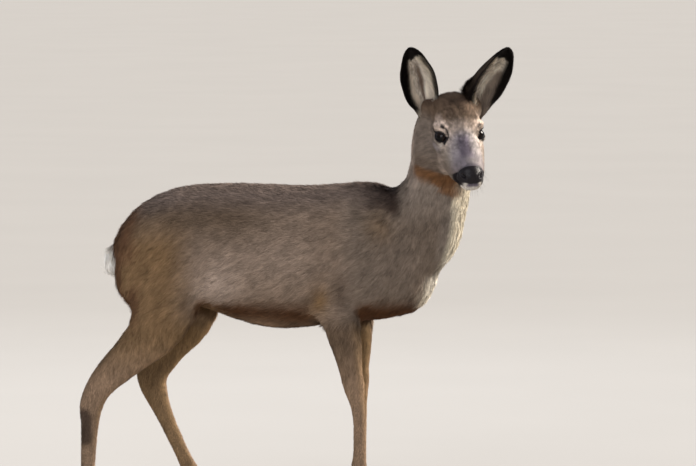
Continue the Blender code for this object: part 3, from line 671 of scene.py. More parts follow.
def coat_flow(points, normals):
    """The way the hair points: back along head and trunk, down the neck, chest, thighs and legs.

    The given ways are blended by region, then laid flat on the skin.
    """
    body, face = own(points), in_head(points)
    head, neck, legs, trunk = regions(points)
    x, y, z = body.T
    side = np.sign(y + 1e-6)
    ones = np.ones(len(points))

    droop = 0.10 + 0.42 * ramp(z, 64.0, 52.0) * ramp(z, 40.0, 46.0)
    droop = droop + 0.85 * ramp(x, 14.0, 22.0) + 0.75 * ramp(x, -14.0, -27.0) * ramp(z, 64.0, 58.0)
    droop = droop * ramp(normals[:, 2], 0.95, 0.5)
    ways = np.stack((-ones, 0.0 * ones, -droop), axis=1)
    front = ramp(x, 23.0, 28.0)
    ways[:, 0] += 0.75 * front
    ways[:, 1] += 0.35 * front * side
    rear = ramp(x, -29.0, -34.0)
    ways[:, 0] += 0.6 * rear
    ways[:, 1] += 0.12 * rear * y
    ways[:, 2] -= 0.6 * rear

    down_legs = np.stack((-0.16 * ones, 0.03 * side, -ones), axis=1)
    down_neck = np.stack((-0.42 + 0.1 * ramp(z, 74.0, 60.0), 0.05 * side, -0.9 * ones), axis=1)

    fx, fy, fz = face.T
    on_top = ramp(fz, 0.0, 3.5)
    on_face = np.stack((-1.0 + 0.25 * on_top, 0.16 * np.sign(fy) * on_top, -0.30 + 0.62 * on_top), axis=1)
    on_face[:, 2] -= 0.55 * ramp(fx, 0.5, -5.0) * ramp(fz, 1.0, -2.5)
    whorl = bump(fx, -3.0, 1.6) * bump(fy, 0.0, 1.5) * ramp(fz, 3.0, 4.5)
    on_face[:, 1] += 1.3 * whorl * np.sign(fy + 0.1)
    on_face = on_face @ HEAD.T

    blend = ways * trunk[:, None] + down_legs * legs[:, None] + down_neck * neck[:, None]
    return laid(blend + on_face * head[:, None], normals)


# ---------------------------------------------------------------- skin


def claw_nodes():
    return [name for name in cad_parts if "claw" in name or "_hoof_" in name]


def flesh_nodes():
    others = claw_nodes()
    return [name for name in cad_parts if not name.startswith(("ear_", "eye_")) and name not in others]


def grown_solids(names, growth):
    """The named solids welded and grown by a hair's breadth, so that neighbours overlap, as one mesh."""
    bm = bmesh.new()
    for name in names:
        bm.from_mesh(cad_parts[name].data)
    bmesh.ops.remove_doubles(bm, verts=bm.verts, dist=1e-6)
    mesh = bpy.data.meshes.new("solids")
    bm.to_mesh(mesh)
    bm.free()
    set_points(mesh, points_of(mesh) + growth * normals_of(mesh))
    return mesh


def evened(mesh, rounds, weight=1.0):
    """Taubin smoothing: each point moves half way to its neighbours' mean, then almost as far back."""
    points, mean = points_of(mesh), neighbour_mean(mesh)
    share = np.broadcast_to(weight, len(points))[:, None]
    for _ in range(rounds):
        for factor in (0.5, -0.53):
            points += factor * share * (mean(points) - points)
    set_points(mesh, points)


def averaged(mesh, values, rounds):
    """The values of each point, mixed with its neighbours' mean a number of times."""
    mean = neighbour_mean(mesh)
    for _ in range(rounds):
        values = 0.4 * values + 0.6 * mean(values)
    return values


def refined(mesh, chosen):
    """Halves the spacing where the chosen function says so of the face middles."""
    bm = bmesh.new()
    bm.from_mesh(mesh)
    bm.edges.index_update()
    picked = np.flatnonzero(chosen(read(mesh.polygons, "center", 3).astype(float)))
    bm.faces.ensure_lookup_table()
    edges = {edge for index in picked for edge in bm.faces[index].edges}
    bmesh.ops.subdivide_edges(bm, edges=sorted(edges, key=lambda e: e.index), cuts=1, use_grid_fill=True)
    bm.to_mesh(mesh)
    bm.free()


def whole_head(points):
    return ramp(own(points)[:, 2], 60.0, 62.0) * (in_head(points)[:, 0] > -8.5) > 0.5


def face_part(ahead, reach):
    """Tells which places lie on the muzzle ahead of a plane or within reach of an eye, in centimetres."""

    def chosen(points):
        near = np.minimum(*(np.linalg.norm(points - EYE[side], axis=1) for side in SIDES)) / CM
        return whole_head(points) & ((in_head(points)[:, 0] > ahead) | (near < reach))

    return chosen


# Hollows and ridges of the body: places of their line, depth and reach in centimetres; both sides get them.
RELIEF = (
    ("behind the elbow", ((9.6, 8.4, 55), (8.2, 8.9, 49), (8.4, 8.0, 43), (9.6, 6.0, 40)), -0.32, 1.3),
    ("along the shoulder blade", ((13.0, 5.0, 64.5), (17.0, 7.0, 58.0), (20.5, 7.5, 50.5)), 0.22, 1.3),
    ("front of the shoulder", ((18.5, 5.5, 62.5), (22.3, 7.0, 55.0), (24.0, 6.5, 49.0)), -0.22, 1.2),
    ("upper arm", ((20.0, 7.2, 50.0), (14.0, 8.6, 46.5), (11.5, 8.3, 43.5)), 0.22, 1.5),
    ("flank fold", ((-13, 8.8, 53), (-15, 8.9, 48), (-17.5, 8.4, 43.8), (-18.5, 8.0, 41.5)), -0.36, 1.2),
    ("edge of the thigh", ((-16.5, 8.6, 53.0), (-18.0, 8.8, 48.0), (-20.0, 8.6, 44.0)), 0.20, 1.2),
    ("hip", ((-21.0, 6.5, 62.5), (-23.0, 7.5, 60.0)), 0.22, 1.8),
    ("hamstring", ((-31.0, 7.6, 54.0), (-30.5, 8.2, 48.0), (-30.0, 7.8, 43.0)), -0.20, 1.1),
    ("hollow of the flank", ((-9.0, 9.2, 56.0), (-13.0, 9.0, 57.5)), -0.22, 3.0),
)
# Those that differ from side to side.
OWN_RELIEF = (
    ("windpipe groove", ((31.0, 3.4, 72.0), (29.0, 4.8, 64.0), (26.5, 5.8, 57.0)), -0.20, 1.1),
    ("windpipe groove", ((29.5, -9.0, 71.0), (31.0, -7.6, 63.5), (28.5, -6.6, 56.5)), -0.20, 1.1),
    ("neck crease", ((24.6, -3.4, 71.5), (26.0, -5.6, 66.0), (27.5, -6.9, 61.0)), -0.14, 0.8),
    ("neck crease", ((25.6, -6.0, 68.5), (28.2, -7.2, 63.5)), -0.12, 0.7),
    ("base of the neck", ((18.5, -4.0, 64.6), (21.5, -6.6, 59.5), (25.0, -6.8, 54.0)), -0.26, 1.3),
    ("base of the neck", ((18.5, 4.0, 64.6), (21.5, 6.6, 59.5), (25.0, 6.8, 54.0)), -0.26, 1.3),
    ("heel tendon", ((-36.6, -7.6, 29.5), (-33.6, -7.9, 33.0)), -0.28, 0.75),
    ("heel tendon", ((-36.6, -4.8, 29.5), (-33.6, -5.0, 33.0)), -0.28, 0.75),
    ("heel tendon", ((-28.9, 7.6, 29.0), (-28.6, 7.9, 32.6)), -0.28, 0.75),
    ("heel tendon", ((-28.9, 4.8, 29.0), (-28.6, 5.0, 32.6)), -0.28, 0.75),
)


def body_relief(points):
    """Heights in metres of muscle edges and folds: bells across chains of straight pieces."""
    body = own(points)
    height = np.zeros(len(points))
    for _, line, depth, reach in RELIEF:
        for sign in SIDES.values():
            distance, where = to_line(body, mirrored(line, sign))
            height += depth * bump(distance, 0, reach) * (0.6 + 0.4 * np.sin(math.pi * where))
    for _, line, depth, reach in OWN_RELIEF:
        height += depth * bump(off_line(body, line), 0, reach)
    height += 0.05 * grain(body, 4.5, 5) * ramp(body[:, 2], 36.0, 44.0)
    return height * CM


# The mouth line, for the left side.
MOUTH = (
    (11.7, 0.1, -5.45), (11.1, 0.9, -5.6), (10.2, 1.6, -5.6),
    (8.8, 2.1, -5.35), (7.4, 2.4, -5.05), (6.3, 2.6, -4.7))
# Ridges and folds of the face, for the left side: line, height and reach in centimetres.
FACE_RELIEF = (
    ("brow", ((2.0, 3.2, 1.3), (0.4, 4.1, 1.9), (-1.4, 4.5, 1.3)), 0.30, 0.6),
    ("cheek crest", ((-1.0, 4.4, -2.0), (3.0, 3.3, -2.6), (6.0, 2.8, -3.2)), 0.12, 0.8),
    ("below the eye", ((-0.6, 4.3, -2.2), (2.4, 3.6, -1.9), (4.6, 2.9, -1.9)), 0.20, 0.7),
    ("hollow under the crest", ((2.2, 3.2, -4.0), (5.2, 2.9, -4.2)), -0.14, 0.9),
    ("edge of the jaw", ((-1.0, 4.0, -6.2), (-4.6, 4.1, -5.2)), 0.12, 1.0),
    ("tear line", TEAR, -0.12, 0.20),
    ("fold over the eye", CREASE, -0.16, 0.20),
    ("vein", ((3.2, 2.4, 0.4), (6.5, 2.2, -2.2), (8.4, 2.1, -2.8)), 0.04, 0.22),
)


def face_relief(points):
    """Heights in metres of the face's folds: bells across lines, and a round hollow for each nostril."""
    face = in_head(points)
    x, y, z = face.T
    height = np.zeros(len(points))
    for sign in SIDES.values():
        mouth = off_line(face, MOUTH, sign)
        height += -0.17 * bump(mouth, 0, 0.12) + 0.05 * bump(mouth, 0, 0.45)
        away = face - np.array((11.15, 1.30 * sign, -3.35))
        length = unit(np.array((-0.62, 0.62 * sign, 0.30)))
        across = unit(np.array((-0.30, 0.10 * sign, -0.90)))
        out = unit(np.cross(length, across))
        radius = np.sqrt((away @ length / 0.62) ** 2 + (away @ across / 0.30) ** 2 + (away @ out / 1.1) ** 2)
        height += -0.50 * np.exp(-(radius**2.4)) + 0.11 * bump(radius, 1.45, 0.35)
        for _, line, depth, reach in FACE_RELIEF:
            height += depth * bump(off_line(face, line, sign), 0, reach)
    height -= 0.10 * bump(y, 0.0, 0.16) * ramp(x, 10.8, 11.4) * ramp(z, -3.4, -4.2) * ramp(z, -5.6, -5.3)
    height += 0.10 * bump(y, 0.0, 1.5) * bump(x, 11.2, 1.0) * bump(z, -5.9, 0.5)
    return height * CM


def with_lids(points, half_length):
    """Draws the skin round each eye onto a ball just over it, with thick rims, and tucks the opening in.

    Round the eye a point's distance from its middle goes to radius plus lid; inside the opening it goes under
    the eyeball's surface, with an S over a millimetre at the edge.
    """
    face = in_head(points)
    for side in SIDES:
        across, rise, reach, toward = eye_place(face, side)
        edge = lid_edge(across, rise, half_length)
        front = ramp(np.abs(across), 1.9, 1.5) * ramp(reach, 2.9, 2.4)
        rim = 0.10 + 0.07 * bump(edge, 0.10, 0.12)
        fold = -0.06 * bump(edge, 0.46, 0.10) * ramp(rise, 0.15, 0.5)
        pouch = 0.12 * bump(edge, 0.50, 0.18) * ramp(rise, -0.1, -0.4)
        lid = EYE_RADIUS + rim + fold + pouch
        tucked = lid + (EYE_RADIUS - 0.22 - lid) * ramp(edge, 0.03, -0.06)
        near = ramp(edge, 0.85, 0.20) * front
        goal = reach + (tucked - reach) * near
        moved = face + toward * (goal - reach)[:, None]
        face = np.where((near > 0)[:, None], moved, face)
    return from_head(face)


# How far the solids grow so that neighbours join, and how far the skin lies under the roots, in metres.
SKIN_JOIN = 0.0007
SKIN_UNDER = 0.0005


def make_skin(shape):
    """The skin's mesh: solids joined on a grid, refined over the face, drawn in by the coat, then shaped."""
    names = [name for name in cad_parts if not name.startswith("ear_")]
    solid = bpy.data.objects.new("joined solids", grown_solids(names, SKIN_JOIN))
    bpy.context.scene.collection.objects.link(solid)
    remesh = solid.modifiers.new("one skin", "REMESH")
    remesh.mode = "VOXEL"
    remesh.voxel_size = shape.skin_grid
    graph = bpy.context.evaluated_depsgraph_get()
    mesh = bpy.data.meshes.new_from_object(solid.evaluated_get(graph), depsgraph=graph)
    bpy.data.objects.remove(solid)
    mesh.name = "skin"
    evened(mesh, 6)
    for chosen, rounds in ((whole_head, 5), (face_part(5.2, 3.9), 5), (face_part(8.9, 2.75), 4)):
        refined(mesh, chosen)
        evened(mesh, rounds, ramp(own(points_of(mesh))[:, 2], 58.0, 60.0))
    points = points_of(mesh)
    evened(mesh, 10, ramp(in_head(points)[:, 0], -8.0, 2.0) * ramp(own(points)[:, 2], 60.0, 62.0))
    points = points_of(mesh)
    set_points(mesh, points - normals_of(mesh) * (coat_depth(points, shape) + SKIN_UNDER)[:, None])
    evened(mesh, 2)
    points = points_of(mesh)
    head = regions(points)[0]
    relief = body_relief(points) * (1 - head) + face_relief(points) * ramp(head, 0.2, 0.8)
    set_points(mesh, with_lids(points + normals_of(mesh) * relief[:, None], shape.lid_length))
    return mesh


def own_skin_marks(mesh, shape, colours):
    """Keeps the markings, and how wet the nose and the lids are, as values of the skin's points."""
    points, normals = points_of(mesh), normals_of(mesh)
    face = in_head(points)
    head = regions(points)[0]
    marks = coat_colours(points, normals, colours, shape.lid_length)
    wet = pad_share(face) * head
    for side in SIDES:
        across, rise, reach, _ = eye_place(face, side)
        rims = ramp(lid_edge(across, rise, shape.lid_length), 0.2, 0.08)
        wet = np.maximum(wet, 0.7 * rims * ramp(reach, 2.4, 2.1))
    colour_points(mesh, marks * (1 - 0.45 * (1 - np.clip(wet * 2, 0, 1)))[:, None])
    number_points(mesh, wet, "Wet")


# ---------------------------------------------------------------- eyes, ears and claws


def eye_middle(side):
    return in_head(EYE[side][None])[0]


def make_eye(side, colours):
    """A ball with a slightly raised cornea; iris threads, a wide pupil and a dark ring are its colours.

    Ball points run in rings about the lids' axis: radius R + 0.05 bump(angle).
    """
    rings, columns = 64, 72
    axis, along, up = eye_frame(side)
    turn = np.linspace(0.02, math.pi - 0.02, rings)[:, None]
    around = ring_angles(columns)[None, :] * SIDES[side]
    reach = EYE_RADIUS + 0.05 * bump(turn, 0, 0.62)
    ball = reach[..., None] * (
        np.cos(turn)[..., None] * axis
        + (np.sin(turn) * np.cos(around))[..., None] * along
        + (np.sin(turn) * np.sin(around))[..., None] * up
    )
    points, faces = capped(from_head(ball.reshape(-1, 3) + eye_middle(side)), rings, columns)
    mesh = new_mesh(f"eye ball {side}", points, [f[:, ::-1] for f in faces])
    angle = np.repeat(turn, columns, axis=1).ravel()
    where = np.repeat(around, rings, axis=0).ravel()
    threads = 0.5 + 0.5 * np.sin(where * 23 + 2.0 * np.sin(where * 7)) * np.sin(where * 41 + 3 * angle)
    tone = np.array(colours.iris) * (0.75 + 0.9 * threads * ramp(angle, 0.30, 0.62))[:, None]
    pupil = np.sqrt((angle * np.cos(where) / 0.46) ** 2 + (angle * np.sin(where) / 0.27) ** 2)
    tone = tone * (0.10 + 0.90 * ramp(pupil, 0.92, 1.10))[:, None]
    tone = tone * (1 - 0.85 * ramp(angle, 0.86, 1.0))[:, None]
    colour_points(mesh, np.vstack((tone, tone[:1] * 0.1, tone[-1:])))
    return mesh


# Ear rows in centimetres: height over its root, half width, depth of the hollow.
EAR = (
    (-1.8, 0.9, 1.1), (0.0, 1.3, 1.7), (2.4, 2.1, 2.9), (4.0, 2.8, 3.4), (6.0, 3.25, 3.5), (8.5, 3.3, 3.1),
    (10.8, 3.0, 2.4), (12.8, 2.4, 1.6), (14.4, 1.7, 1.0), (15.5, 1.0, 0.6), (16.1, 0.4, 0.3))
# Where each ear's root is in the head's frame, as a distance outward.
EAR_ROOT = {"left": (-7.0, 5.35, 0.8), "right": (-7.0, 4.6, 0.9)}
# Each ear's lean outward and forward, its turn in degrees, and how far it spreads.
EAR_POSE = {"left": (16.6, 11.5, 26.0, 1.24), "right": (16.0, 5.0, 5.0, 1.0)}


def ear_sheet(side, columns=37, steps=6):
    """Rows of an ear's middle surface in head centimetres, with its outward direction, angle and height.

    Middle surface: (-depth cos a, spread width sin a, height), a from -90 to 90 degrees; outward is the
    gradient of that half ellipse.
    """
    sign = SIDES[side]
    outward, forward, opening, spread = EAR_POSE[side]
    lean = Matrix.Rotation(math.radians(-outward * sign), 3, "X")
    lean = lean @ Matrix.Rotation(math.radians(forward), 3, "Y")
    lean = np.array(lean @ Matrix.Rotation(math.radians(opening * sign), 3, "Z"))
    height, width, depth = (column[:, None] for column in along_rows(EAR, steps).T)
    angle, height = np.broadcast_arrays(np.linspace(-math.pi / 2, math.pi / 2, columns)[None, :], height)
    place = np.stack((-depth * np.cos(angle), spread * width * np.sin(angle) * sign, height), axis=-1)
    out = np.stack(
        (-np.cos(angle) * spread * width, np.sin(angle) * depth * sign, np.zeros_like(height)), axis=-1)
    x, y, z = EAR_ROOT[side]
    return place @ lean.T + np.array((x, y * sign, z)), unit(out) @ lean.T, angle, height


def make_ear(side, shape, colours):
    """One ear as a closed shell: outside, round the rim, inside; the wall thins towards the rim.

    Returns the mesh and, for the coat, its points with which side they lie on, angle and height.
    """
    middle, out, angle, height = ear_sheet(side)
    wall = shape.ear_wall / CM / 2 * (0.40 + 0.60 * np.sqrt(np.clip(np.cos(angle), 0, 1)))
    wall = wall * (1 + 1.2 * ramp(height, 2.5, -1.0))
    ridges = 0.07 * (bump(angle, 0.42, 0.13) + bump(angle, -0.38, 0.13) + bump(angle, 0.0, 0.10))
    ridges = ridges * ramp(height, 13.0, 9.0) * ramp(height, 0.5, 3.0)
    ripple = 0.05 * np.sin(height * 1.15 + 2 * angle) * ramp(height, 1.0, 4.0) * np.abs(np.sin(angle)) ** 3
    outside = middle + out * (wall + ripple)[..., None]
    inside = middle - out * (wall + ridges - ripple)[..., None]
    rows, columns = angle.shape
    loop = np.concatenate((outside, inside[:, ::-1]), axis=1)
    points, faces = capped(from_head(loop.reshape(-1, 3)), rows, 2 * columns)
    if SIDES[side] > 0:
        faces = [f[:, ::-1] for f in faces]
    mesh = new_mesh(f"ear shell {side}", points, faces)
    halves = (0 * angle, 1 + 0 * angle), (angle, angle[:, ::-1]), (height, height[:, ::-1])
    round_loop = [np.concatenate(half, axis=1).ravel() for half in halves]
    inner, turned, high = (np.append(values, (values[0], values[-1])) for values in round_loop)
    bare = 0.75 * inner * ramp(np.abs(turned), 1.2, 0.8) * (1 - ear_black(turned, high, side))
    marks = mixed(ear_colours(inner, turned, high, points, colours, side), colours.ear_skin, bare)
    colour_points(mesh, marks * 0.8)
    return mesh, inner, turned, high


# Angles where the black band along the outer edge starts, low, half way up and high on each ear.
EAR_BAND = {"left": (1.30, 1.14, 1.02), "right": (1.20, 0.90, 0.50)}


def ear_black(turned, high, side):
    """Share of the black outer band and tip inside an ear; the angle grows towards the outer edge."""
    start = np.interp(high, (2.0, 4.6, 9.0), EAR_BAND[side])
    band = ramp(turned - start, -0.10, 0.12) * ramp(high, 0.5, 2.5)
    return np.maximum(band, ramp(high + 0.5 * turned + 0.3 * np.sin(7 * turned + 1), 12.2, 13.2))


def ear_colours(inner, turned, high, points, colours, side):
    """Dark brown outside; inside pale hair, a darker middle, a black outer band and tip, and a buff base."""
    outside = layered(
        plain(colours.ear_back, len(points)), colours,
        ("forehead", 0.8 * ramp(high, 5.0, 1.5)),
        ("cheek", 0.45 * ramp(turned, 0.7, 1.3) * ramp(high, 7.0, 3.0)),
    )
    left = side == "left"
    inside = layered(
        plain(colours.ear_inner, len(points)), colours,
        ("ear_skin", 0.95 * bump(turned, -0.18, 0.21) * ramp(high, 12.0, 9.0)),
        ("tan", (0.0 if left else 0.25) * ramp(turned, 0.0, 0.4)),
        ("tan", 0.15 * ramp(high, 3.0, 1.0)),
    )
    inside = layered(
        inside * (1 + 0.20 * grain(in_head(points), 0.6, 61))[:, None], colours,
        ("ear_skin", (0.8 if left else 0.0) * ramp(turned, 0.66, 0.85) * ramp(high, 9.5, 7.5)),
        ("ear_rim", ear_black(turned, high, side)),
    )
    tone = outside + (inside - outside) * inner[:, None]
    rim = np.maximum(ramp(-turned, 1.36, 1.50), ramp(turned, 1.1, 1.4)) * ramp(high, 1.5, 4.5)
    return mixed(tone, colours.ear_rim, np.maximum(0.95 * rim, ramp(high, 13.2, 14.4)))


# Rings of a hoof from the sole up: shares of height, length and width, and how far forward in centimetres.
HOOF_RINGS = (
    (0.0, 0.93, 0.90, 0.0), (0.03, 0.985, 0.97, 0.0), (0.10, 1.0, 1.0, -0.02),
    (0.5, 0.92, 0.97, -0.12), (0.84, 0.73, 0.86, -0.48), (1.0, 0.62, 0.77, -0.72))
# Tone of the horn where the ground wears it.
WORN_HORN = (0.16, 0.12, 0.085)


def make_hoof(node, rings, colours):
    """One claw of horn in its solid's box: pointed D rings that draw back as they rise, with growth rings.

    Ring: x = half length cos a, y = half width sin a (0.9 - 0.2 cos a); the heel drops by 7 mm.
    """
    low, high = box_of(node)
    length, width, height = (high - low) / CM
    inward = -1.0 if node.endswith("left") else 1.0
    rows, columns = 44, 48
    shares = np.linspace(0, 1, rows)
    table = np.array(HOOF_RINGS)
    ring_length, ring_width, back = (np.interp(shares, table[:, 0], table[:, k])[:, None] for k in (1, 2, 3))
    angle = ring_angles(columns)[None, :]
    bulge = np.sin(angle) * (0.9 - 0.2 * np.cos(angle))
    flat = np.where(bulge * inward > 0, 0.72, 1.0)
    growth = 1 + 0.010 * np.sin(shares * 2 * math.pi * rings + 0.4 * np.cos(angle).T).T if rings else 1.0
    growth = 1 + (growth - 1) * ramp(shares, 0.06, 0.14)[:, None]
    x = length / 2 * (ring_length * np.cos(angle) * growth) + back
    y = width / 2 * 1.02 * ring_width * bulge * flat * growth
    drop = 0.7 * (shares[:, None] ** 1.3) * (1 - np.cos(angle)) / 2
    z = height * shares[:, None] - drop
    place = np.stack((x, y, z), axis=-1).reshape(-1, 3)
    shift = (low + high) / 2 / CM - (place.max(axis=0) + place.min(axis=0)) / 2
    shift[2] = low[2] / CM
    points, faces = capped((place + shift) * CM, rows, columns)
    mesh = new_mesh(f"horn {node}", points, faces)
    up = points[:, 2] / CM
    bands = 0.85 + 0.22 * grain(points / CM, 0.9, 71) + 0.10 * np.sin(up / height * 2 * math.pi * rings)
    tone = np.array(colours.horn)[None] * bands[:, None]
    colour_points(mesh, mixed(tone, WORN_HORN, 0.5 * ramp(up, 0.25, 0.0)))
    return mesh


def make_dewclaw(node, colours):
    """A small horn button: a ball stretched to its solid's box, drawn to a blunt point at the bottom."""
    low, high = box_of(node)
    rings, columns = 20, 24
    turn = np.linspace(0.05, math.pi - 0.05, rings)[:, None]
    around = ring_angles(columns)[None, :]
    waist = np.sin(turn) ** np.where(turn > math.pi / 2, 1.25, 0.8)
    ball = np.stack((waist * np.cos(around), waist * np.sin(around), np.cos(turn) + 0 * around), axis=-1)
    points, faces = capped((low + high) / 2 + ball.reshape(-1, 3) * (high - low) / 2, rings, columns)
    mesh = new_mesh(f"horn {node}", points, [f[:, ::-1] for f in faces])
    tone = np.array(colours.horn)[None] * (0.9 + 0.25 * grain(points / CM, 0.4, 72))[:, None]
    colour_points(mesh, tone)
    return mesh


# ---------------------------------------------------------------- coat of tufts


def bend_along(mesh, points, normals, way):
    """How fast the surface curves away along the hair, per metre.

    The turns of a point's edges, weighted by the fourth power of their share of the hair's way.
    """
    start, end = both_ways(mesh)
    step = points[end] - points[start]
    length = np.maximum(np.linalg.norm(step, axis=1), 1e-7)
    curve = dots(normals[end] - normals[start], step) / length**2
    weight = (dots(step, way[start]) / length) ** 4 + 1e-4
    total = np.bincount(start, weight, len(points))
    return np.clip(np.bincount(start, weight * curve, len(points)) / np.maximum(total, 1e-9), -60, 60)


def planted(triangles, points, density, values, count, seed):
    """Picks roots on the triangles by area times density, and the values there, with seeded shares."""
    rng = np.random.default_rng(seed)
    corners = points[triangles]
    area = np.linalg.norm(np.cross(corners[:, 1] - corners[:, 0], corners[:, 2] - corners[:, 0]), axis=1)
    sums = np.cumsum(area * density[triangles].mean(axis=1))
    picked = np.searchsorted(sums, (np.arange(count) + rng.random(count)) / count * sums[-1])
    picked = np.minimum(picked, len(triangles) - 1)
    a, b = rng.random((2, count))
    a, b = np.where(a + b > 1, 1 - a, a), np.where(a + b > 1, 1 - b, b)
    shares = np.stack((1 - a - b, a, b), axis=1)
    chosen = triangles[picked]
    return {name: (array[chosen] * shares[..., None]).sum(axis=1) for name, array in values.items()}


# A tuft's points: two at the root, two half way and one at the tip. Their faces, their share of its tone and
# their place on its patch of the unwrap.
TUFT_FACES = np.array(((0, 1, 2), (0, 2, 3), (3, 2, 4)))
TUFT_TONES = (0.62, 0.62, 1.0, 1.0)
TIP_TONES = {"dark": 0.68, "light": 1.18}
TUFT_PATCH = np.array(((-0.5, 0.0), (0.5, 0.0), (0.45, 0.55), (-0.45, 0.55), (0.0, 1.0)))
PATCH = 0.003


def make_tufts(name, roots, unevenness, seed):
    """Blades of five points that rise from the skin and lie down along the coat.

    Middle line: root + way L s + normal (rise (1.6 s - 0.6 s^2) - bend (L s)^2 / 2). Neighbours bunch and
    turn together by noise. Roots are darker, tips lighter or, on every fourth tuft, dark.
    """
    rng = np.random.default_rng(seed)
    root, normal = roots["points"], unit(roots["normals"])
    count = len(root)
    place = root / CM
    length, width, rise, bend, wild = roots["plan"].T
    bunches = 0.16 * grain(place, 1.8, 41) + 0.12 * grain(place, 0.6, 42)
    turn = wild * (bunches + 0.11 * rng.normal(size=count))
    way = laid(roots["way"], normal)
    side = np.cross(way, normal)
    way = way * np.cos(turn)[:, None] + side * np.sin(turn)[:, None]
    lift = 1 + 0.16 * grain(place, 0.8, 43) + 0.18 * rng.normal(size=count)
    rise = rise * np.clip(lift, 0.25, 1.6)
    length = length * np.clip(1 + 0.16 * rng.normal(size=count) + 0.15 * grain(place, 2.2, 44), 0.5, 1.6)
    width = width * np.clip(1 + 0.20 * rng.normal(size=count), 0.5, 1.6)
    roll = 0.35 * rng.normal(size=count)
    side = np.cross(way, normal) * np.cos(roll)[:, None] + normal * np.sin(roll)[:, None]

    def middle(share):
        up = rise * (1.6 * share - 0.6 * share**2) - bend * (length * share) ** 2 / 2 - 0.0006 * (share == 0)
        return root + way * (length * share)[:, None] + normal * up[:, None]

    half = side * (width / 2)[:, None]
    low, mid, tip = middle(0.0), middle(0.52), middle(1.0)
    points = np.stack((low - 0.7 * half, low + 0.7 * half, mid + half, mid - half, tip), axis=1)
    flat = unit(np.cross(half, tip - low))
    shade = unit(0.72 * normal + 0.28 * flat)
    streak = sum(grain(place + way * step, 0.45, 46) for step in (-0.7, -0.35, 0.0, 0.35, 0.7)) / 2.6
    bright = 1 + unevenness * (0.6 * grain(place, 1.4, 45) + 1.6 * streak + 0.7 * rng.normal(size=count))
    ends = np.where(rng.random(count) < 0.25, TIP_TONES["dark"], TIP_TONES["light"])
    steps = np.column_stack((plain(TUFT_TONES, count), ends))
    shown = roots["colours"][:, None, :] * (np.clip(bright, 0.45, 1.7)[:, None] * steps)[..., None]

    faces = (np.arange(count)[:, None, None] * len(TUFT_PATCH) + TUFT_FACES).reshape(-1, 3)
    mesh = new_mesh(name, points.reshape(-1, 3), [faces])
    mesh.normals_split_custom_set_from_vertices(np.repeat(shade, len(TUFT_PATCH), axis=0).astype(np.float32))
    colour_points(mesh, shown.reshape(-1, 3))
    spots = roots["spots"][:, None, :] + (TUFT_PATCH - (0, 0.5)) * PATCH
    uv = mesh.uv_layers.new(name="OFBake")
    uv.data.foreach_set("uv", spots.reshape(-1, 2)[faces.ravel()].astype(np.float32).ravel())
    return mesh


def round_spots(points, start, end, corner, size):
    """Unwrap about a straight line: angle across, place along the line upward, into a part of the square."""
    start, end = np.array(start, float), np.array(end, float)
    line = end - start
    along = (points - start) @ line / (line @ line)
    off = points - start - along[:, None] * line
    aside = unit(np.cross(line, (0.31, 0.87, 0.38)))
    other = np.cross(unit(line), aside)
    around = np.arctan2(off @ other, off @ aside) / (2 * math.pi) + 0.5
    spots = np.stack((around, np.clip(along, 0, 1)), axis=1)
    return np.array(corner) + 0.005 + spots * (np.array(size) - 0.01)


def globe_spots(points, centre, axis):
    """Unwrap about a point: distance from the middle of the square is the angle off the axis."""
    away = unit(points - np.array(centre, float))
    axis = unit(np.array(axis, float))
    aside = unit(np.cross(axis, (0.1, 0.2, 1.0)))
    other = np.cross(axis, aside)
    off = np.arccos(np.clip(away @ axis, -1, 1)) / math.pi
    around = np.arctan2(away @ other, away @ aside)
    return 0.5 + 0.49 * off[:, None] * np.stack((np.cos(around), np.sin(around)), axis=1)


def tufts_drawn(count):
    return int(count * (1.0))


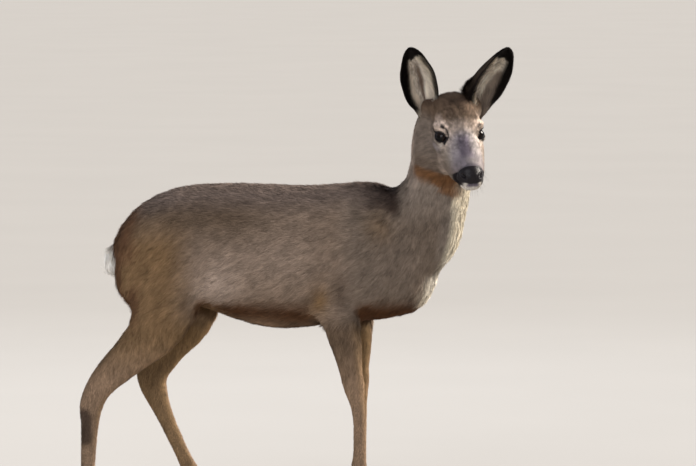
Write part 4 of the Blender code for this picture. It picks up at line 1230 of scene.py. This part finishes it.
def skin_plan(points, normals, coat, shape):
    """Length, width, rise and wildness of the tufts, and how densely they stand, for each skin point."""
    body, face = own(points), in_head(points)
    head, neck, legs, trunk = regions(points)
    x, y, z = body.T
    fx, _, fz = face.T
    full, thin = coat.length, coat.width
    depth = coat_depth(points, shape)

    patch = ramp((y / 5.2) ** 2 + ((z - RUMP_PATCH) / 5.6) ** 2, 1.15, 0.8) * ramp(x, -27.0, -31.0)
    under = ramp(normals[:, 2], -0.3, -0.8) * ramp(z, 48.0, 42.0)
    behind = ramp(normals[:, 0], -0.1, -0.5) * ramp(x, -22.0, -28.0)
    on_trunk = full * (1 + 0.15 * patch + 0.25 * under + 0.20 * behind)
    on_leg = 0.0052 + 0.0100 * ramp(z, 18.0, 40.0)
    on_neck = full * (0.80 + 0.30 * ramp(normals[:, 0], 0.0, 0.8) * ramp(z, 70.0, 58.0))
    on_head = 0.0064 - 0.0038 * ramp(fx, -1.5, 8.0) + 0.0030 * ramp(fx, -2.0, -6.5)
    on_head = on_head + 0.0012 * ramp(fz, -3.5, -6.5) * ramp(fx, 7.0, 3.0)
    crown = head * ramp(fx, -2.6, -4.6) * ramp(fz, 2.0, 3.6)
    on_head = on_head + 0.0050 * crown
    length = on_trunk * trunk + on_leg * legs + on_neck * neck + on_head * head

    width = thin * (trunk + 0.92 * neck + (0.55 + 0.3 * ramp(z, 18.0, 40.0)) * legs) + 0.00052 * head
    rise = np.minimum(depth * (1 + 0.15 * patch), 0.42 * length) + 0.0004 * head + 0.0022 * crown
    wild = trunk + 0.9 * neck + 0.55 * legs + 0.45 * head
    dense = 1 + 0.6 * head * ramp(fx, 2.0, 8.0)
    dense = dense * (1 - head * np.clip(pad_share(face) * 1.5, 0, 1)) * ramp(z, 1.2, 2.2)
    for side, sign in SIDES.items():
        across, lid_rise, reach, _ = eye_place(face, side)
        length = length * (1 - 0.45 * ramp(reach, 3.4, 2.6))
        dense = dense * (1 - 0.8 * head * ramp(off_line(face, CREASE, sign), 0.36, 0.18))
        off_lids = ramp(lid_edge(across, lid_rise, shape.lid_length), 0.16, 0.30)
        dense = dense * np.where(reach < 2.9, off_lids, 1.0)
    return np.stack((length, width, rise, wild), axis=1), np.maximum(dense, 1e-6)


# Pieces of the coat: the region, between which places along the body it grows, and its number of tufts.
ON_HEAD, ON_NECK, ON_LEGS, ON_TRUNK = range(4)
FAR = 1000.0
COAT_PIECES = {
    "coat_head": (ON_HEAD, -FAR, FAR, "head_tufts"),
    "coat_neck": (ON_NECK, -FAR, FAR, "neck_tufts"),
    "coat_shoulders": (ON_TRUNK, 11, FAR, "body_tufts"),
    "coat_ribs": (ON_TRUNK, -5, 11, "body_tufts"),
    "coat_flanks": (ON_TRUNK, -20, -5, "body_tufts"),
    "coat_rump": (ON_TRUNK, -FAR, -20, "body_tufts"),
    "coat_forelegs": (ON_LEGS, -8, FAR, "leg_tufts"),
    "coat_hindlegs": (ON_LEGS, -FAR, -8, "leg_tufts"),
}


def make_coat(skin, shape, colours, coat):
    """All coat meshes that grow from the skin, by name. Each takes its own part of the skin's triangles."""
    points, normals, triangles = points_of(skin), normals_of(skin), triangles_of(skin)
    smooth = unit(averaged(skin, normals, 3))
    way = coat_flow(points, smooth)
    bend = averaged(skin, bend_along(skin, points, smooth, way)[:, None], 3)
    plan, dense = skin_plan(points, smooth, coat, shape)
    values = {
        "points": points,
        "normals": smooth,
        "way": way,
        "plan": np.column_stack((plan[:, :3], bend, plan[:, 3])),
        "colours": coat_colours(points, smooth, colours, shape.lid_length),
    }
    middles = points[triangles].mean(axis=1)
    share = np.stack(regions(middles), axis=1).argmax(axis=1)
    x = own(middles)[:, 0]
    made = {}
    for seed, (name, (region, rear, front, tufts)) in enumerate(COAT_PIECES.items(), 1):
        mine = (share == region) & (x > rear) & (x <= front)
        roots = planted(triangles[mine], points, dense, values, tufts_drawn(getattr(coat, tufts)), seed)
        roots["spots"] = coat_spots(name, roots["points"])
        made[name] = make_tufts(name, roots, coat.unevenness, seed + 20)
    return made


# The lines that long pieces of the coat are unwrapped about, and middle and axis of the round ones.
# The head's line is in its own frame, a leg's is the left one's.
COAT_LINES = {
    "coat_head": ((-10, 0, -1.5), (12.5, 0, -4.0)),
    "coat_neck": ((24.0, 0.5, 46), (33.0, -5.5, 82)),
    "coat_ribs": ((-6, 0, 53), (12, 0, 53)),
    "coat_flanks": ((-21, 0, 53), (-4, 0, 53)),
}
COAT_GLOBES = {"coat_shoulders": ((14, 0, 54), (1, 0, 0)), "coat_rump": ((-22, 0, 52), (-1, 0, 0))}
LEG_LINES = {
    "coat_forelegs": ((11.0, 5.4, 0), (13.0, 5.4, 42)),
    "coat_hindlegs": ((-32.0, 5.8, 0), (-28.0, 5.8, 44)),
}


def coat_spots(name, points):
    """Where the roots of a coat piece lie on its unwrap."""
    place = in_head(points) if name == "coat_head" else own(points)
    if name in COAT_LINES:
        return round_spots(place, *COAT_LINES[name], (0, 0), (1, 1))
    if name in COAT_GLOBES:
        return globe_spots(place, *COAT_GLOBES[name])
    left = place[:, 1] > 0
    spots = np.empty((len(points), 2))
    for mine, side, corner in ((left, 1, 0.0), (~left, -1, 0.5)):
        spots[mine] = round_spots(place[mine], *mirrored(LEG_LINES[name], side), (corner, 0), (0.5, 1))
    return spots


def make_ear_coat(ears, colours, coat):
    """Tufts of both ears: short and dark outside towards the tip, long and pale inside from rims and base."""
    parts, triangles, start = [], [], 0
    for side, (mesh, inner, turned, high) in ears.items():
        points, normals = points_of(mesh), normals_of(mesh)
        middle = ear_sheet(side)[0]
        upward = unit(from_head(middle[-8:-7, 18]) - from_head(middle[20:21, 18]))[0]
        sideways = unit(from_head(middle[30:31, -1]) - from_head(middle[30:31, 0]))[0]
        edge = np.abs(turned)
        inward = -np.sign(turned)[:, None] * sideways * (inner * ramp(edge, 0.25, 0.9))[:, None]
        tuft = (1 - inner) * ramp(turned, -0.2, -0.8) * ramp(high, 8.0, 4.5) * (side == "left")
        fan = np.sign(turned)[:, None] * sideways * ((1 - inner) * 0.35 + 0.9 * tuft)[:, None]
        way = laid(unit(upward + 0.85 * inward + fan), normals)
        deep = inner * ramp(edge, 0.35, 0.95)
        length = 0.0062 + inner * 0.0035 + deep * 0.0085 * ramp(high, 15.0, 11.5)
        length = length + 0.003 * ramp(high, 3.0, 0.5)
        rim = ramp(edge, 1.36, 1.5)
        black = inner * ear_black(turned, high, side)
        length = length * (1 - 0.45 * rim) * (1 - 0.4 * ramp(high, 13.5, 15.8)) * (1 - 0.5 * black)
        length = length + 0.0150 * tuft
        width = 0.00062 - 0.00012 * inner
        rise = 0.0011 + inner * 0.0010 + deep * 0.0032 * ramp(high, 15.0, 11.0) + 0.0110 * tuft
        wild = 0.45 + 0.45 * inner
        bend = np.where(inner > 0.5, -1.0, 1.0) * 26.0 * ramp(edge, 0.0, 0.9) * inner
        dense = (1 + 0.7 * rim + 0.4 * (1 - inner)) * ramp(high, -0.6, 0.4)
        dense = dense * (1 - 0.65 * inner * ramp(edge, 0.5, 0.2))
        corner = 0.0 if side == "left" else 0.5
        across = corner + 0.005 + ((turned / math.pi + 0.5) * 0.24 + np.where(inner > 0.5, 0.25, 0.0)) * 0.98
        upwards = 0.005 + 0.98 * np.clip((high + 1.8) / 17.9, 0, 1)
        parts.append({
            "points": points,
            "normals": normals,
            "way": way,
            "plan": np.stack((length, width, rise, bend, wild), axis=1),
            "colours": ear_colours(inner, turned, high, points, colours, side),
            "spots": np.stack((across, upwards), axis=1),
            "dense": dense[:, None],
        })
        triangles.append(triangles_of(mesh) + start)
        start += len(points)
    values = {name: np.concatenate([part[name] for part in parts]) for name in parts[0]}
    dense = values.pop("dense")[:, 0]
    triangles = np.concatenate(triangles)
    roots = planted(triangles, values["points"], dense, values, tufts_drawn(coat.ear_tufts), 9)
    return make_tufts("coat_ears", roots, coat.unevenness, 29)


def make_bristles(name, starts, ways, lengths, droop, thickness, tone):
    """Thin tapered three-sided bristles: start + way L s - up droop L s^2, radius falling to a point."""
    count, rows = len(starts), 6
    share = np.linspace(0, 1, rows)[None, :, None]
    line = starts[:, None] + ways[:, None] * lengths[:, None, None] * share
    line[..., 2] -= droop * lengths[:, None] * share[..., 0] ** 2
    aside = unit(np.cross(ways, (0.3, 0.2, 1.0)))
    other = np.cross(ways, aside)
    turn = ring_angles(3)
    ring = aside[:, None] * np.cos(turn)[None, :, None] + other[:, None] * np.sin(turn)[None, :, None]
    radius = thickness / 2 * (1 - 0.88 * share[..., 0])
    points = (line[:, :, None] + ring[:, None] * radius[..., None, None]).reshape(-1, 3)
    one = grid_faces(rows, 3, True)
    quads = (np.arange(count)[:, None, None] * rows * 3 + one).reshape(-1, 4)
    first = np.arange(count)[:, None] * rows * 3
    caps = np.concatenate((first + (2, 1, 0), first + (rows - 1) * 3 + (0, 1, 2)))
    mesh = new_mesh(name, points, [quads, caps])
    colour_points(mesh, np.full((len(points), 3), tone))
    return mesh


LASHES = 34
WHISKERS = 46


def make_lashes(shape):
    """A row of lashes along each upper lid, longest over the middle."""
    rng = np.random.default_rng(51)
    starts, ways, lengths = [], [], []
    for side in SIDES:
        axis, along, up = eye_frame(side)
        across = np.linspace(-0.55, 0.92, LASHES) * shape.lid_length + 0.02 * rng.normal(size=LASHES)
        rise = LID_LINE + LID_HEIGHTS[0] * (1 - (across / shape.lid_length) ** 2) + 0.05
        toward = np.cos(rise)[:, None] * (np.cos(across)[:, None] * axis + np.sin(across)[:, None] * along)
        toward = toward + np.sin(rise)[:, None] * up
        starts.append(from_head(eye_middle(side) + toward * (EYE_RADIUS + 0.08)))
        lean = toward + up * 0.15 - axis * 0.1 + along * 0.35 + 0.12 * rng.normal(size=(LASHES, 3))
        ways.append(unit(lean) @ HEAD.T)
        lengths.append((0.0055 + 0.003 * np.cos(across * 1.3)) * (1 + 0.2 * rng.normal(size=LASHES)))
    starts, ways, lengths = (np.concatenate(parts) for parts in (starts, ways, lengths))
    return make_bristles("lash bristles", starts, ways, lengths, 0.15, 0.00032, 0.006)


def make_whiskers(skin):
    """Sparse stiff bristles on upper lip and chin, rooted on the nearest points of the skin."""
    rng = np.random.default_rng(52)
    points, normals = points_of(skin), normals_of(skin)
    x, y, z = in_head(points).T
    lip = (x > 7.2) & (x < 9.8) & (np.abs(y) > 1.4) & (z < -3.6)
    chin = (x > 7.5) & (x < 10.6) & (z < -5.8)
    spots = np.flatnonzero((lip | chin) & (np.abs(z + 5.3) > 0.35) & (z > -7.8))
    picked = rng.choice(spots, WHISKERS, replace=False)
    ways = unit(normals[picked] + 0.35 * HEAD[:, 0] + (0, 0, -0.35) + 0.18 * rng.normal(size=(WHISKERS, 3)))
    lengths = 0.011 + 0.010 * rng.random(WHISKERS)
    starts = points[picked] - 0.001 * ways
    return make_bristles("whisker bristles", starts, ways, lengths, 0.35, 0.00034, 0.012)


# ---------------------------------------------------------------- materials


def node(tree, kind, place, inputs=(), **settings):
    """Adds a node of that kind, sets its own settings, and fills or links the named inputs."""
    made = tree.nodes.new(kind)
    made.location = place
    for key, value in settings.items():
        setattr(made, key, value)
    for key, value in dict(inputs).items():
        if isinstance(value, bpy.types.NodeSocket):
            tree.links.new(value, made.inputs[key])
        else:
            made.inputs[key].default_value = value
    return made


def new_material(name, **sockets):
    """A material with a Principled shader, with these values on the shader's own sockets."""
    made = bpy.data.materials.new(name)
    made.use_nodes = True
    shader = made.node_tree.nodes["Principled BSDF"]
    for key, value in sockets.items():
        shader.inputs[key.replace("_", " ")].default_value = value
    return made, made.node_tree, shader


# Where most values of a noise lie.
NOISE_RANGE = {"From Min": 0.3, "From Max": 0.7}


def kept_material(name, scale, low, high, **sockets):
    """A material whose base colour is the mesh's kept colour times a soft noise between two factors."""
    made, tree, shader = new_material(name, **sockets)
    kept = node(tree, "ShaderNodeAttribute", (-1400, 500), attribute_name="Coat")
    where = node(tree, "ShaderNodeTexCoord", (-1400, 200)).outputs["Object"]
    noise = node(tree, "ShaderNodeTexNoise", (-1200, 200), {"Vector": where, "Scale": scale, "Detail": 3.0})
    factor = node(tree, "ShaderNodeMapRange", (-1000, 200),
                  {"Value": noise.outputs["Fac"], **NOISE_RANGE, "To Min": low, "To Max": high})
    mix = node(tree, "ShaderNodeVectorMath", (-800, 300),
               {0: kept.outputs["Color"], 1: factor.outputs["Result"]}, operation="MULTIPLY")
    tree.links.new(mix.outputs["Vector"], shader.inputs["Base Color"])
    return made, tree, shader, where


def coat_material():
    return kept_material("doe coat hair", 45.0, 0.90, 1.10, Roughness=0.75, Specular_IOR_Level=0.08)[0]


def eye_material():
    return kept_material("doe eye", 700.0, 0.8, 1.2, Roughness=0.04, Specular_IOR_Level=0.12)[0]


def bristle_material():
    return kept_material("doe bristle", 300.0, 0.7, 1.4, Roughness=0.4)[0]


def roughened(tree, shader, roughness, bumps):
    """Links a range of a value to the shader's roughness, and a bump of another to its normal."""
    gloss = node(tree, "ShaderNodeMapRange", (-500, 0), roughness)
    tree.links.new(gloss.outputs["Result"], shader.inputs["Roughness"])
    bumped = node(tree, "ShaderNodeBump", (-200, -400), bumps)
    tree.links.new(bumped.outputs["Normal"], shader.inputs["Normal"])


def skin_material():
    """Skin under the coat, and bare nose and lids: wet parts are glossy and cobbled."""
    made, tree, shader, where = kept_material("doe skin", 120.0, 0.82, 1.18, Specular_IOR_Level=0.14)
    wet = node(tree, "ShaderNodeAttribute", (-1000, -100), attribute_name="Wet").outputs["Fac"]
    cells = node(tree, "ShaderNodeTexVoronoi", (-1000, -400), {"Vector": where, "Scale": 620.0},
                 feature="DISTANCE_TO_EDGE")
    cobble = node(tree, "ShaderNodeMapRange", (-800, -400),
                  {"Value": cells.outputs["Distance"], "To Max": 0.35}, interpolation_type="SMOOTHSTEP")
    lined = node(tree, "ShaderNodeMath", (-600, -400),
                 {0: cobble.outputs["Result"], 1: wet}, operation="MULTIPLY")
    hair = node(tree, "ShaderNodeTexNoise", (-800, -700), {"Vector": where, "Scale": 900.0, "Detail": 2.0})
    both = node(tree, "ShaderNodeMath", (-400, -400),
                {0: lined.outputs["Value"], 1: hair.outputs["Fac"]}, operation="ADD")
    roughened(tree, shader, {"Value": wet, "To Min": 0.78, "To Max": 0.30},
              {"Height": both.outputs["Value"], "Strength": 0.5, "Distance": 0.0006})
    return made


def horn_material():
    """Claw horn: scuffs make it rougher and stand up a little."""
    made, tree, shader, where = kept_material("doe claw horn", 260.0, 0.75, 1.3, Specular_IOR_Level=0.45)
    scuffs = node(tree, "ShaderNodeTexNoise", (-700, -200), {"Vector": where, "Scale": 400.0, "Detail": 4.0})
    rough = scuffs.outputs["Fac"]
    roughened(tree, shader, {"Value": rough, **NOISE_RANGE, "To Min": 0.34, "To Max": 0.62},
              {"Height": rough, "Strength": 0.35, "Distance": 0.0005})
    return made


def floor_material(tone):
    made, tree, shader = new_material("studio floor", Roughness=0.85, Specular_IOR_Level=0.2)
    where = node(tree, "ShaderNodeTexCoord", (-900, 0))
    noise = node(tree, "ShaderNodeTexNoise", (-700, 0),
                 {"Vector": where.outputs["Object"], "Scale": 1.5, "Detail": 2.0})
    shades = node(tree, "ShaderNodeValToRGB", (-500, 0), {"Fac": noise.outputs["Fac"]})
    for element, factor in zip(shades.color_ramp.elements, (0.97, 1.03)):
        element.color = (*(min(channel * factor, 1.0) for channel in tone), 1.0)
    tree.links.new(shades.outputs["Color"], shader.inputs["Base Color"])
    return made


MATERIALS = {
    "coat hair": coat_material,
    "skin": skin_material,
    "eye": eye_material,
    "claw horn": horn_material,
    "bristle": bristle_material,
}


def material(name):
    return bpy.data.materials.get(f"doe {name}") or MATERIALS[name]()


# ---------------------------------------------------------------- stage


# The floor's radius and height in metres, and into how many rings and sides it is divided.
FLOOR_RADIUS, FLOOR_AT = 80.0, -0.0004
FLOOR_RINGS, FLOOR_SIDES = 12, 48


def make_floor(scene, tone):
    """A round, level floor, wide enough to fill the picture: rings of radius R (k / rings)^2."""
    radii = FLOOR_RADIUS * np.linspace(0, 1, FLOOR_RINGS + 1)[1:, None] ** 2
    around = ring_angles(FLOOR_SIDES)
    rings = np.stack(np.broadcast_arrays(radii * np.cos(around), radii * np.sin(around), FLOOR_AT), -1)
    places = np.vstack((rings.reshape(-1, 3), ((0, 0, FLOOR_AT),)))
    corner = np.arange(FLOOR_SIDES)
    centre = np.full(FLOOR_SIDES, FLOOR_RINGS * FLOOR_SIDES)
    middle = np.stack((centre, corner, (corner + 1) % FLOOR_SIDES), axis=1)
    mesh = new_mesh("studio floor", places, [grid_faces(FLOOR_RINGS, FLOOR_SIDES, True)[:, ::-1], middle])
    mesh.materials.append(floor_material(tone))
    floor = bpy.data.objects.new("studio_floor", mesh)
    scene.collection.objects.link(floor)
    return floor


# Lights: kind, place, breadth (an angle for the sun), strength as a share of the key's, and tone.
LIGHTS = {
    "key light": ("SUN", (4.4, 1.9, 3.1), 0.33, 1.0, (1.0, 0.92, 0.82)),
    "fill light": ("AREA", (-0.8, -4.6, 2.6), 3.2, 20.5, (0.97, 0.97, 1.0)),
    "rim light": ("AREA", (-0.6, 3.2, 2.8), 2.2, 3.3, (0.88, 0.93, 1.0)),
}
LIT = (0.0, 0.05, 0.55)
SKY_TONE, SKY_STRENGTH = (0.86, 0.90, 1.0, 1.0), 0.45


def add_light(scene, name, kind, place, size, power, tone):
    """A light at a place, turned towards the middle of the doe."""
    light = bpy.data.lights.new(name, kind)
    if kind == "SUN":
        light.angle = size
    else:
        light.size = size
    light.energy = power
    light.color = tone
    holder = bpy.data.objects.new(name, light)
    holder.location = place
    holder.rotation_euler = (Vector(LIT) - Vector(place)).to_track_quat("-Z", "Y").to_euler()
    scene.collection.objects.link(holder)


# What the camera looks at, in metres.
AIM = (0.0998, 0.0484, 0.5625)


def make_camera(scene, stage):
    """The camera looks along its azimuth and elevation at the aim from its distance."""
    level = math.cos(stage.elevation)
    back = Vector(
        (math.sin(stage.azimuth) * level, -math.cos(stage.azimuth) * level, math.sin(stage.elevation)))
    data = bpy.data.cameras.new("camera")
    data.lens = stage.lens
    data.clip_end = 200
    camera = bpy.data.objects.new("camera", data)
    camera.location = Vector(AIM) + back * stage.distance
    camera.rotation_euler = back.to_track_quat("Z", "Y").to_euler()
    scene.collection.objects.link(camera)
    scene.camera = camera


def make_world(scene):
    world = scene.world or bpy.data.worlds.new("studio")
    scene.world = world
    world.use_nodes = True
    sky = world.node_tree.nodes["Background"]
    sky.inputs["Color"].default_value = SKY_TONE
    sky.inputs["Strength"].default_value = SKY_STRENGTH


# ---------------------------------------------------------------- operators and panel


class DOE_OT_skin(bpy.types.Operator):
    """Make the skin over the solids, with lids, nose and mouth"""

    bl_idname = "doe.skin"
    bl_label = "Make skin"

    def execute(self, context):
        scene = context.scene
        skin = make_skin(scene.doe_shape)
        own_skin_marks(skin, scene.doe_shape, scene.doe_colours)
        add_piece("skin", skin, material("skin"), flesh_nodes())
        return {"FINISHED"}


class DOE_OT_eyes(bpy.types.Operator):
    """Make both eyeballs and the lashes"""

    bl_idname = "doe.eyes"
    bl_label = "Make eyes"

    def execute(self, context):
        scene = context.scene
        for side in SIDES:
            eye = make_eye(side, scene.doe_colours)
            add_piece(f"eyeball_{side}", eye, material("eye"), (f"eye_{side}",))
        add_piece("lashes", make_lashes(scene.doe_shape), material("bristle"))
        return {"FINISHED"}


class DOE_OT_ears(bpy.types.Operator):
    """Make both ear shells and their coat"""

    bl_idname = "doe.ears"
    bl_label = "Make ears"

    def execute(self, context):
        scene = context.scene
        ears = {side: make_ear(side, scene.doe_shape, scene.doe_colours) for side in SIDES}
        for side, (mesh, *_) in ears.items():
            add_piece(f"ear_shell_{side}", mesh, material("skin"), (f"ear_{side}",))
        coat = make_ear_coat(ears, scene.doe_colours, scene.doe_coat)
        add_piece("coat_ears", coat, material("coat hair"))
        return {"FINISHED"}


class DOE_OT_claws(bpy.types.Operator):
    """Make every hoof and dewclaw"""

    bl_idname = "doe.claws"
    bl_label = "Make claws"

    def execute(self, context):
        scene = context.scene
        for name in claw_nodes():
            if "dewclaw" in name:
                mesh = make_dewclaw(name, scene.doe_colours)
            else:
                mesh = make_hoof(name, scene.doe_shape.claw_rings, scene.doe_colours)
            add_piece(f"{name}_horn", mesh, material("claw horn"), (name,))
        return {"FINISHED"}


class DOE_OT_coat(bpy.types.Operator):
    """Grow the coat of tufts from the skin, and the whiskers"""

    bl_idname = "doe.coat"
    bl_label = "Grow coat"

    def execute(self, context):
        scene = context.scene
        skin = bpy.data.objects["skin"].data
        pieces = make_coat(skin, scene.doe_shape, scene.doe_colours, scene.doe_coat)
        for name, mesh in pieces.items():
            add_piece(name, mesh, material("coat hair"))
        add_piece("whiskers", make_whiskers(skin), material("bristle"))
        return {"FINISHED"}


class DOE_OT_stage(bpy.types.Operator):
    """Make floor, lights, sky and camera"""

    bl_idname = "doe.stage"
    bl_label = "Make stage"

    def execute(self, context):
        scene = context.scene
        stage = scene.doe_stage
        make_floor(scene, stage.floor_colour)
        make_world(scene)
        make_camera(scene, stage)
        for name, (kind, place, size, share, tone) in LIGHTS.items():
            add_light(scene, name, kind, place, size, stage.key_strength * share, tone)
        scene.view_settings.view_transform = "Standard"
        return {"FINISHED"}


class DOE_PT_panel(bpy.types.Panel):
    bl_label = "Roe deer doe"
    bl_idname = "DOE_PT_panel"
    bl_space_type = "VIEW_3D"
    bl_region_type = "UI"
    bl_category = "Doe"

    def draw(self, context):
        for made in MAKERS:
            self.layout.operator(made.bl_idname)
        for group in SETTINGS:
            box = self.layout.box()
            box.label(text=group)
            settings = getattr(context.scene, group)
            for key in settings.bl_rna.properties.keys():
                if key not in ("rna_type", "name"):
                    box.prop(settings, key)


MAKERS = (DOE_OT_skin, DOE_OT_eyes, DOE_OT_ears, DOE_OT_claws, DOE_OT_coat, DOE_OT_stage)
SETTINGS = {"doe_shape": DoeShape, "doe_colours": DoeColours, "doe_coat": DoeCoat, "doe_stage": DoeStage}


def register():
    for group in SETTINGS.values():
        bpy.utils.register_class(group)
    for made in (*MAKERS, DOE_PT_panel):
        bpy.utils.register_class(made)
    for key, group in SETTINGS.items():
        setattr(bpy.types.Scene, key, PointerProperty(type=group))


def unregister():
    for key in SETTINGS:
        delattr(bpy.types.Scene, key)
    for made in (DOE_PT_panel, *reversed(MAKERS), *reversed(SETTINGS.values())):
        bpy.utils.unregister_class(made)


def main():
    register()
    bpy.ops.doe.skin()
    bpy.ops.doe.eyes()
    bpy.ops.doe.ears()
    bpy.ops.doe.claws()
    bpy.ops.doe.coat()
    bpy.ops.doe.stage()


if __name__ == "__main__":
    main()
